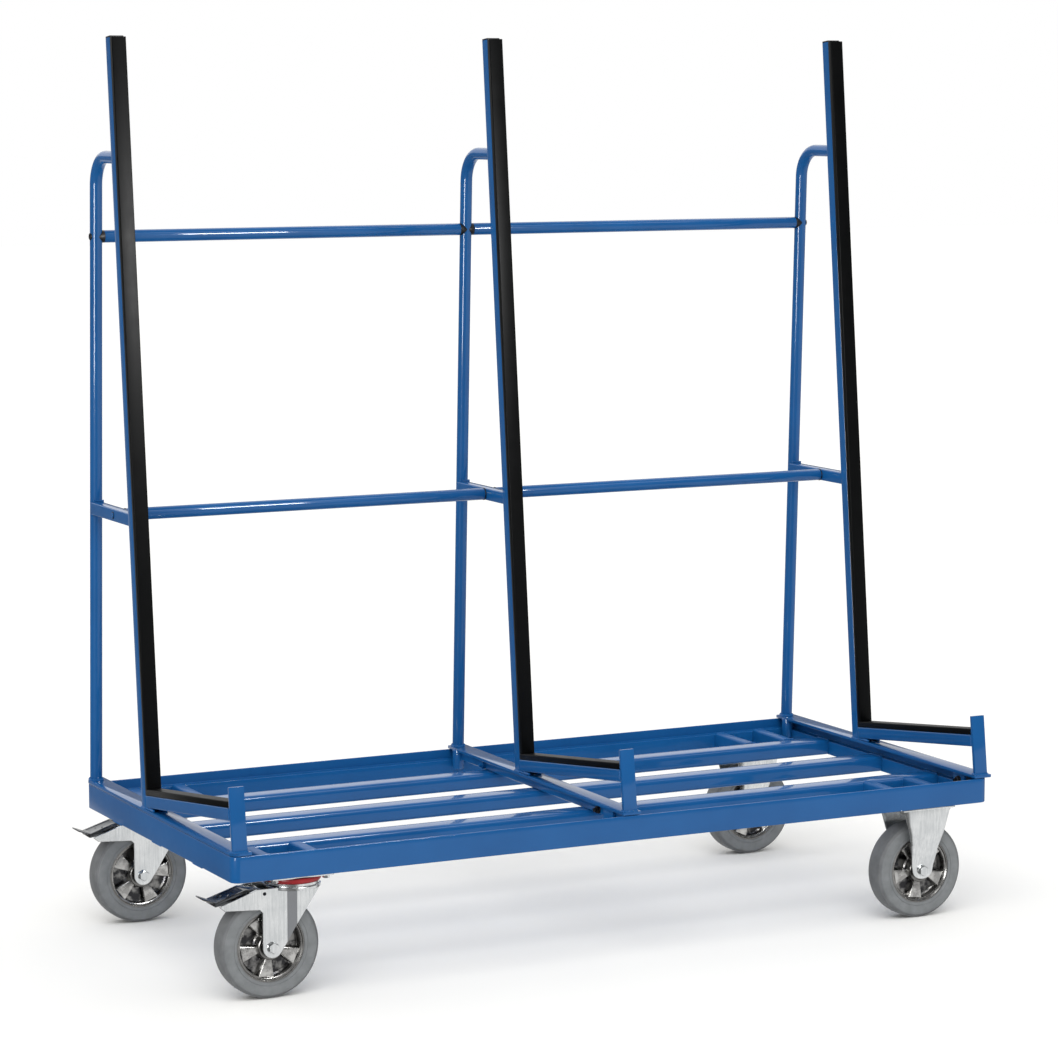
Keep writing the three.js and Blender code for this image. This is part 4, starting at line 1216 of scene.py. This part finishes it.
def folded_cheek(side):
    """One cheek of the fixed fork, at one side of the wheel."""
    end = [(END_HALF / BOSS_R * x, END_DEEP / BOSS_R * z) for x, z in arc(BOSS_R, 180, 360, 16)]
    top = [KNEE, (SHOULDER_X, CHEEK_RISE), (-SHOULDER_X, CHEEK_RISE), (-KNEE[0], KNEE[1])]
    piece = cheek_plate("cheek", end + top, side)
    slope = (FOLD_TOP - FOLD_LOW) / CHEEK_RISE
    cuts = [(mm(way * FOLD_LOW, 0, 0), (way, 0, -slope)) for way in (-1, 1)]
    cuts += [(mm(0, 0, z), (0, 0, 1)) for z, _ in BAND_OUT[:-1]]
    for place, normal in cuts:
        pick(piece, "FACE", lambda spot, way: True)
        bpy.ops.mesh.bisect(plane_co=place, plane_no=normal)
    for (_, before), (z, out) in zip(BAND_OUT, BAND_OUT[1:]):
        pick(piece, "VERT", lambda spot, way: spot.z > (z - 0.5) * MM)
        bpy.ops.transform.translate(value=mm(0, side * (out - before), 0))
    for z, _ in BAND_OUT[1:]:
        fold = FOLD_LOW + slope * z + 0.5
        pick(piece, "VERT",
             lambda spot, way: abs(spot.z / MM - z) < 0.5 and abs(spot.x / MM) > fold)
        bpy.ops.transform.translate(value=mm(0, -side * FOLD_BACK * z / CHEEK_RISE, 0))
    rest()
    return piece


fixed_model = soften(together("fixed_fork", folded_cheek(-1), folded_cheek(1)), 0.9, 2, 50)
print("fixed fork", len(fixed_model.data.polygons), "faces")

# %% [markdown]
# ## Casters in place
# One set of pieces is enough for all four casters. Each copy goes to the place of its solid node
# and rides that node's body, so the wheels spin, the forks swing round and the pedals tip. A wheel
# stops at any angle, so the turn of each rim's spokes is listed.

# %% Four casters
SPOKE_TURN = {"front_swivel": 47, "front_fixed": 47, "rear_swivel": 4, "rear_fixed": 30}


def placed(model, name, place, turn=(0, 0, 0)):
    """A named copy of a caster's piece."""
    piece = copy_of(model, place, turn)
    piece.name = name
    return piece


def wheel(label, axle_at, carrier):
    """Tyre and rim, which spin, and the axle in its fork."""
    spin = (0, -math.radians(SPOKE_TURN[label]), 0)
    settle(placed(tyre_model, label + "_tread", axle_at), tyre_grey.material, label + "_wheel",
           "grey_tyre", label + "_tyre", smooth=20)
    settle(placed(rim_model, label + "_casting", axle_at, spin), cast.material, label + "_wheel",
           "cast_aluminium", label + "_rim")
    settle(placed(axle_model, label + "_pin", axle_at), zinc.material, carrier, "zinc",
           label + "_axle")


for row, y in (("front", -CASTER_Y), ("rear", CASTER_Y)):
    label = row + "_swivel"
    plate_at = at(middle_x + SWIVEL_X * MM, y, 0)
    axle_at = at(middle_x + (SWIVEL_X - TRAIL) * MM, y, WHEEL_R)
    wheel(label, axle_at, label)
    settle(placed(fork_model, label + "_pressing", axle_at), fork_zinc.material, label, "zinc",
           label + "_fork", smooth=6)
    settle(placed(head_model, label + "_plate", plate_at), zinc.material, "frame", "zinc",
           label + "_head")
    settle(placed(ring_model, row + "_red_ring", plate_at), ring_red.material, "frame",
           "red_plastic", row + "_dust_ring")
    settle(placed(pivot_model, row + "_pedal_pin", axle_at), dark_bolt.material, label, "zinc")
    settle(placed(pedal_model, row + "_pedal_channel", axle_at + PIVOT), worn_zinc.material,
           row + "_pedal", "zinc", row + "_brake_pedal", smooth=25)
    label = row + "_fixed"
    plate_at = at(middle_x + FIXED_X * MM, y, 0)
    axle_at = at(middle_x + FIXED_X * MM, y, WHEEL_R)
    wheel(label, axle_at, "frame")
    fork = placed(fixed_model, label + "_pressing", axle_at)
    top = placed(head_plate(FIXED_PLATE_HALF), "top", plate_at)
    settle(together(label + "_pressing", fork, top), zinc.material, "frame", "zinc", label + "_fork")

# %% [markdown]
# The models that the copies were made from still lie at the origin. They are no part of the cart,
# so whatever is neither a finished piece nor a solid node is removed.

# %% Clear the bench
for spare in [o for o in bpy.data.objects if o.type == "MESH" and o.users_scene]:
    if spare not in made and spare.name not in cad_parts:
        bpy.data.objects.remove(spare)
print(len(made), "finished pieces,", sum(len(p.data.polygons) for p in made), "faces")

# %% [markdown]
# ## Studio
# The cart stands on plain white paper under even, soft light: a sky that is the same from every
# side, and one very soft sun from the front left, so that the open floor comes out white and the
# shadow under the deck a pale grey. Two softboxes show in gloss only and add no light to the
# colours: the one in front draws the thin bright line along the round rails on the left, the one at
# the left does so on the posts.

# %% Floor, sun and softboxes
rest()
bpy.ops.mesh.primitive_plane_add(size=60, location=(0, 0, 0))
floor = bpy.context.object
floor.name = "floor"
PAPER_DIM, PAPER_PALE = (0.95, 0.945, 0.925, 1), (0.965, 0.96, 0.94, 1)
paper = Finish("white_floor", specular_ior_level=0.0)
paper.feed(
    Base_Color=paper.mix(paper.noise(0.6, 2), PAPER_DIM, PAPER_PALE),
    Roughness=0.85 + 0.1 * paper.noise(3, 2))
floor.data.materials.append(paper.material)
floor.visible_glossy = False

SUN_SHARE, SUN_SPREAD = 0.33, math.radians(50)
SUN_FROM = Vector((-0.35, -0.55, 1.0)).normalized()
sunlight = bpy.data.lights.new("soft_sun", "SUN")
sunlight.angle = SUN_SPREAD
sunlight.energy = SUN_SHARE * math.pi / SUN_FROM.z
sun = bpy.data.objects.new("soft_sun", sunlight)
bpy.context.scene.collection.objects.link(sun)
sun.rotation_euler = SUN_FROM.to_track_quat("Z", "Y").to_euler()
sun.visible_glossy = False
print("sun adds", SUN_SHARE, "to the floor")


def softbox(name, place, aim, size, watts):
    """A lit panel that shows in gloss only."""
    panel = bpy.data.lights.new(name, "AREA")
    panel.shape = "RECTANGLE"
    panel.size, panel.size_y = size
    panel.energy = watts
    lamp = bpy.data.objects.new(name, panel)
    bpy.context.scene.collection.objects.link(lamp)
    lamp.location = place
    lamp.rotation_euler = (lamp.location - Vector(aim)).to_track_quat("Z", "Y").to_euler()
    lamp.visible_diffuse = False
    lamp.visible_camera = False
    print(name, "shines on", aim)


softbox("front_softbox", place=(middle_x, -1.54, 1.88), aim=(middle_x - 0.5, 0.3, 1.1),
        size=(0.75, 0.5), watts=55)
softbox("left_softbox", place=(middle_x - 5.03, -2.88, 1.05), aim=(middle_x, 0.38, 1.05),
        size=(1.36, 1.7), watts=180)

# %% [markdown]
# The rest of what gloss shows is the room: a white sweep behind the cart, a lit floor in front and
# at the back, a bright strip overhead and dim walls. The room is worked out from the direction of a
# ray: its height, and its turn in degrees from the front (0) to the right (90). The camera itself
# sees plain white.

# %% The room in reflections
SKY, WALLS, SWEEP, LIT_FLOOR, OVERHEAD = 0.82, 0.13, 1.05, 0.68, 2.0
world = bpy.data.worlds.new("tent")
bpy.context.scene.world = world
world.use_nodes = True
world.cycles.sampling_method = "NONE"
tent = Wire(world.node_tree)
background = next(n for n in world.node_tree.nodes if n.type == "BACKGROUND")
background.inputs["Color"].default_value = (1, 1, 1, 1)
way = tent.node("TexCoord", output="Generated")
east, north, high = (tent.node("SeparateXYZ", inputs={"Vector": way}, output=k) for k in range(3))
turn = tent.node("Math", {"operation": "ARCTAN2"}, {0: east, 1: 0 - north}) * (180 / math.pi)


def step_up(value, at_value, soft):
    """0 below a value and 1 above it, with a soft edge."""
    return tent.node("MapRange", {"interpolation_type": "SMOOTHSTEP"}, {
        "Value": value, "From Min": at_value - soft, "From Max": at_value + soft})


def between(value, low, high, soft):
    """1 from one value to another, else 0, with soft edges."""
    return step_up(value, low, soft) - step_up(value, high, soft)


behind = step_up(north, 0.1, 0.1) * step_up(high, 0.11, 0.04)
lit_ways = between(turn, 0, 95, 4) + between(turn, 118, 200, 4) + between(turn, -200, -168, 3)
below = lit_ways * between(high, -0.8, -0.02, 0.03)
above = between(turn, -10, 70, 10) * between(high, 0.68, 0.82, 0.03)
room = WALLS + SWEEP * behind + LIT_FLOOR * below + OVERHEAD * above
seen = tent.node("LightPath", output="Is Camera Ray")
mirrored = tent.node("LightPath", output="Is Glossy Ray")
through = tent.node("LightPath", output="Is Transmission Ray")
gloss = tent.node("Math", {"operation": "MAXIMUM"}, {0: mirrored, 1: through})
level = seen + (1 - seen) * (gloss * room + (1 - gloss) * SKY)
world.node_tree.links.new(level.socket, background.inputs["Strength"])
print("room ready:", len(world.node_tree.nodes), "nodes")

# %% [markdown]
# Last, the plain Standard view keeps colours as they are written.

# %% Colour view
bpy.context.scene.view_settings.view_transform = "Standard"
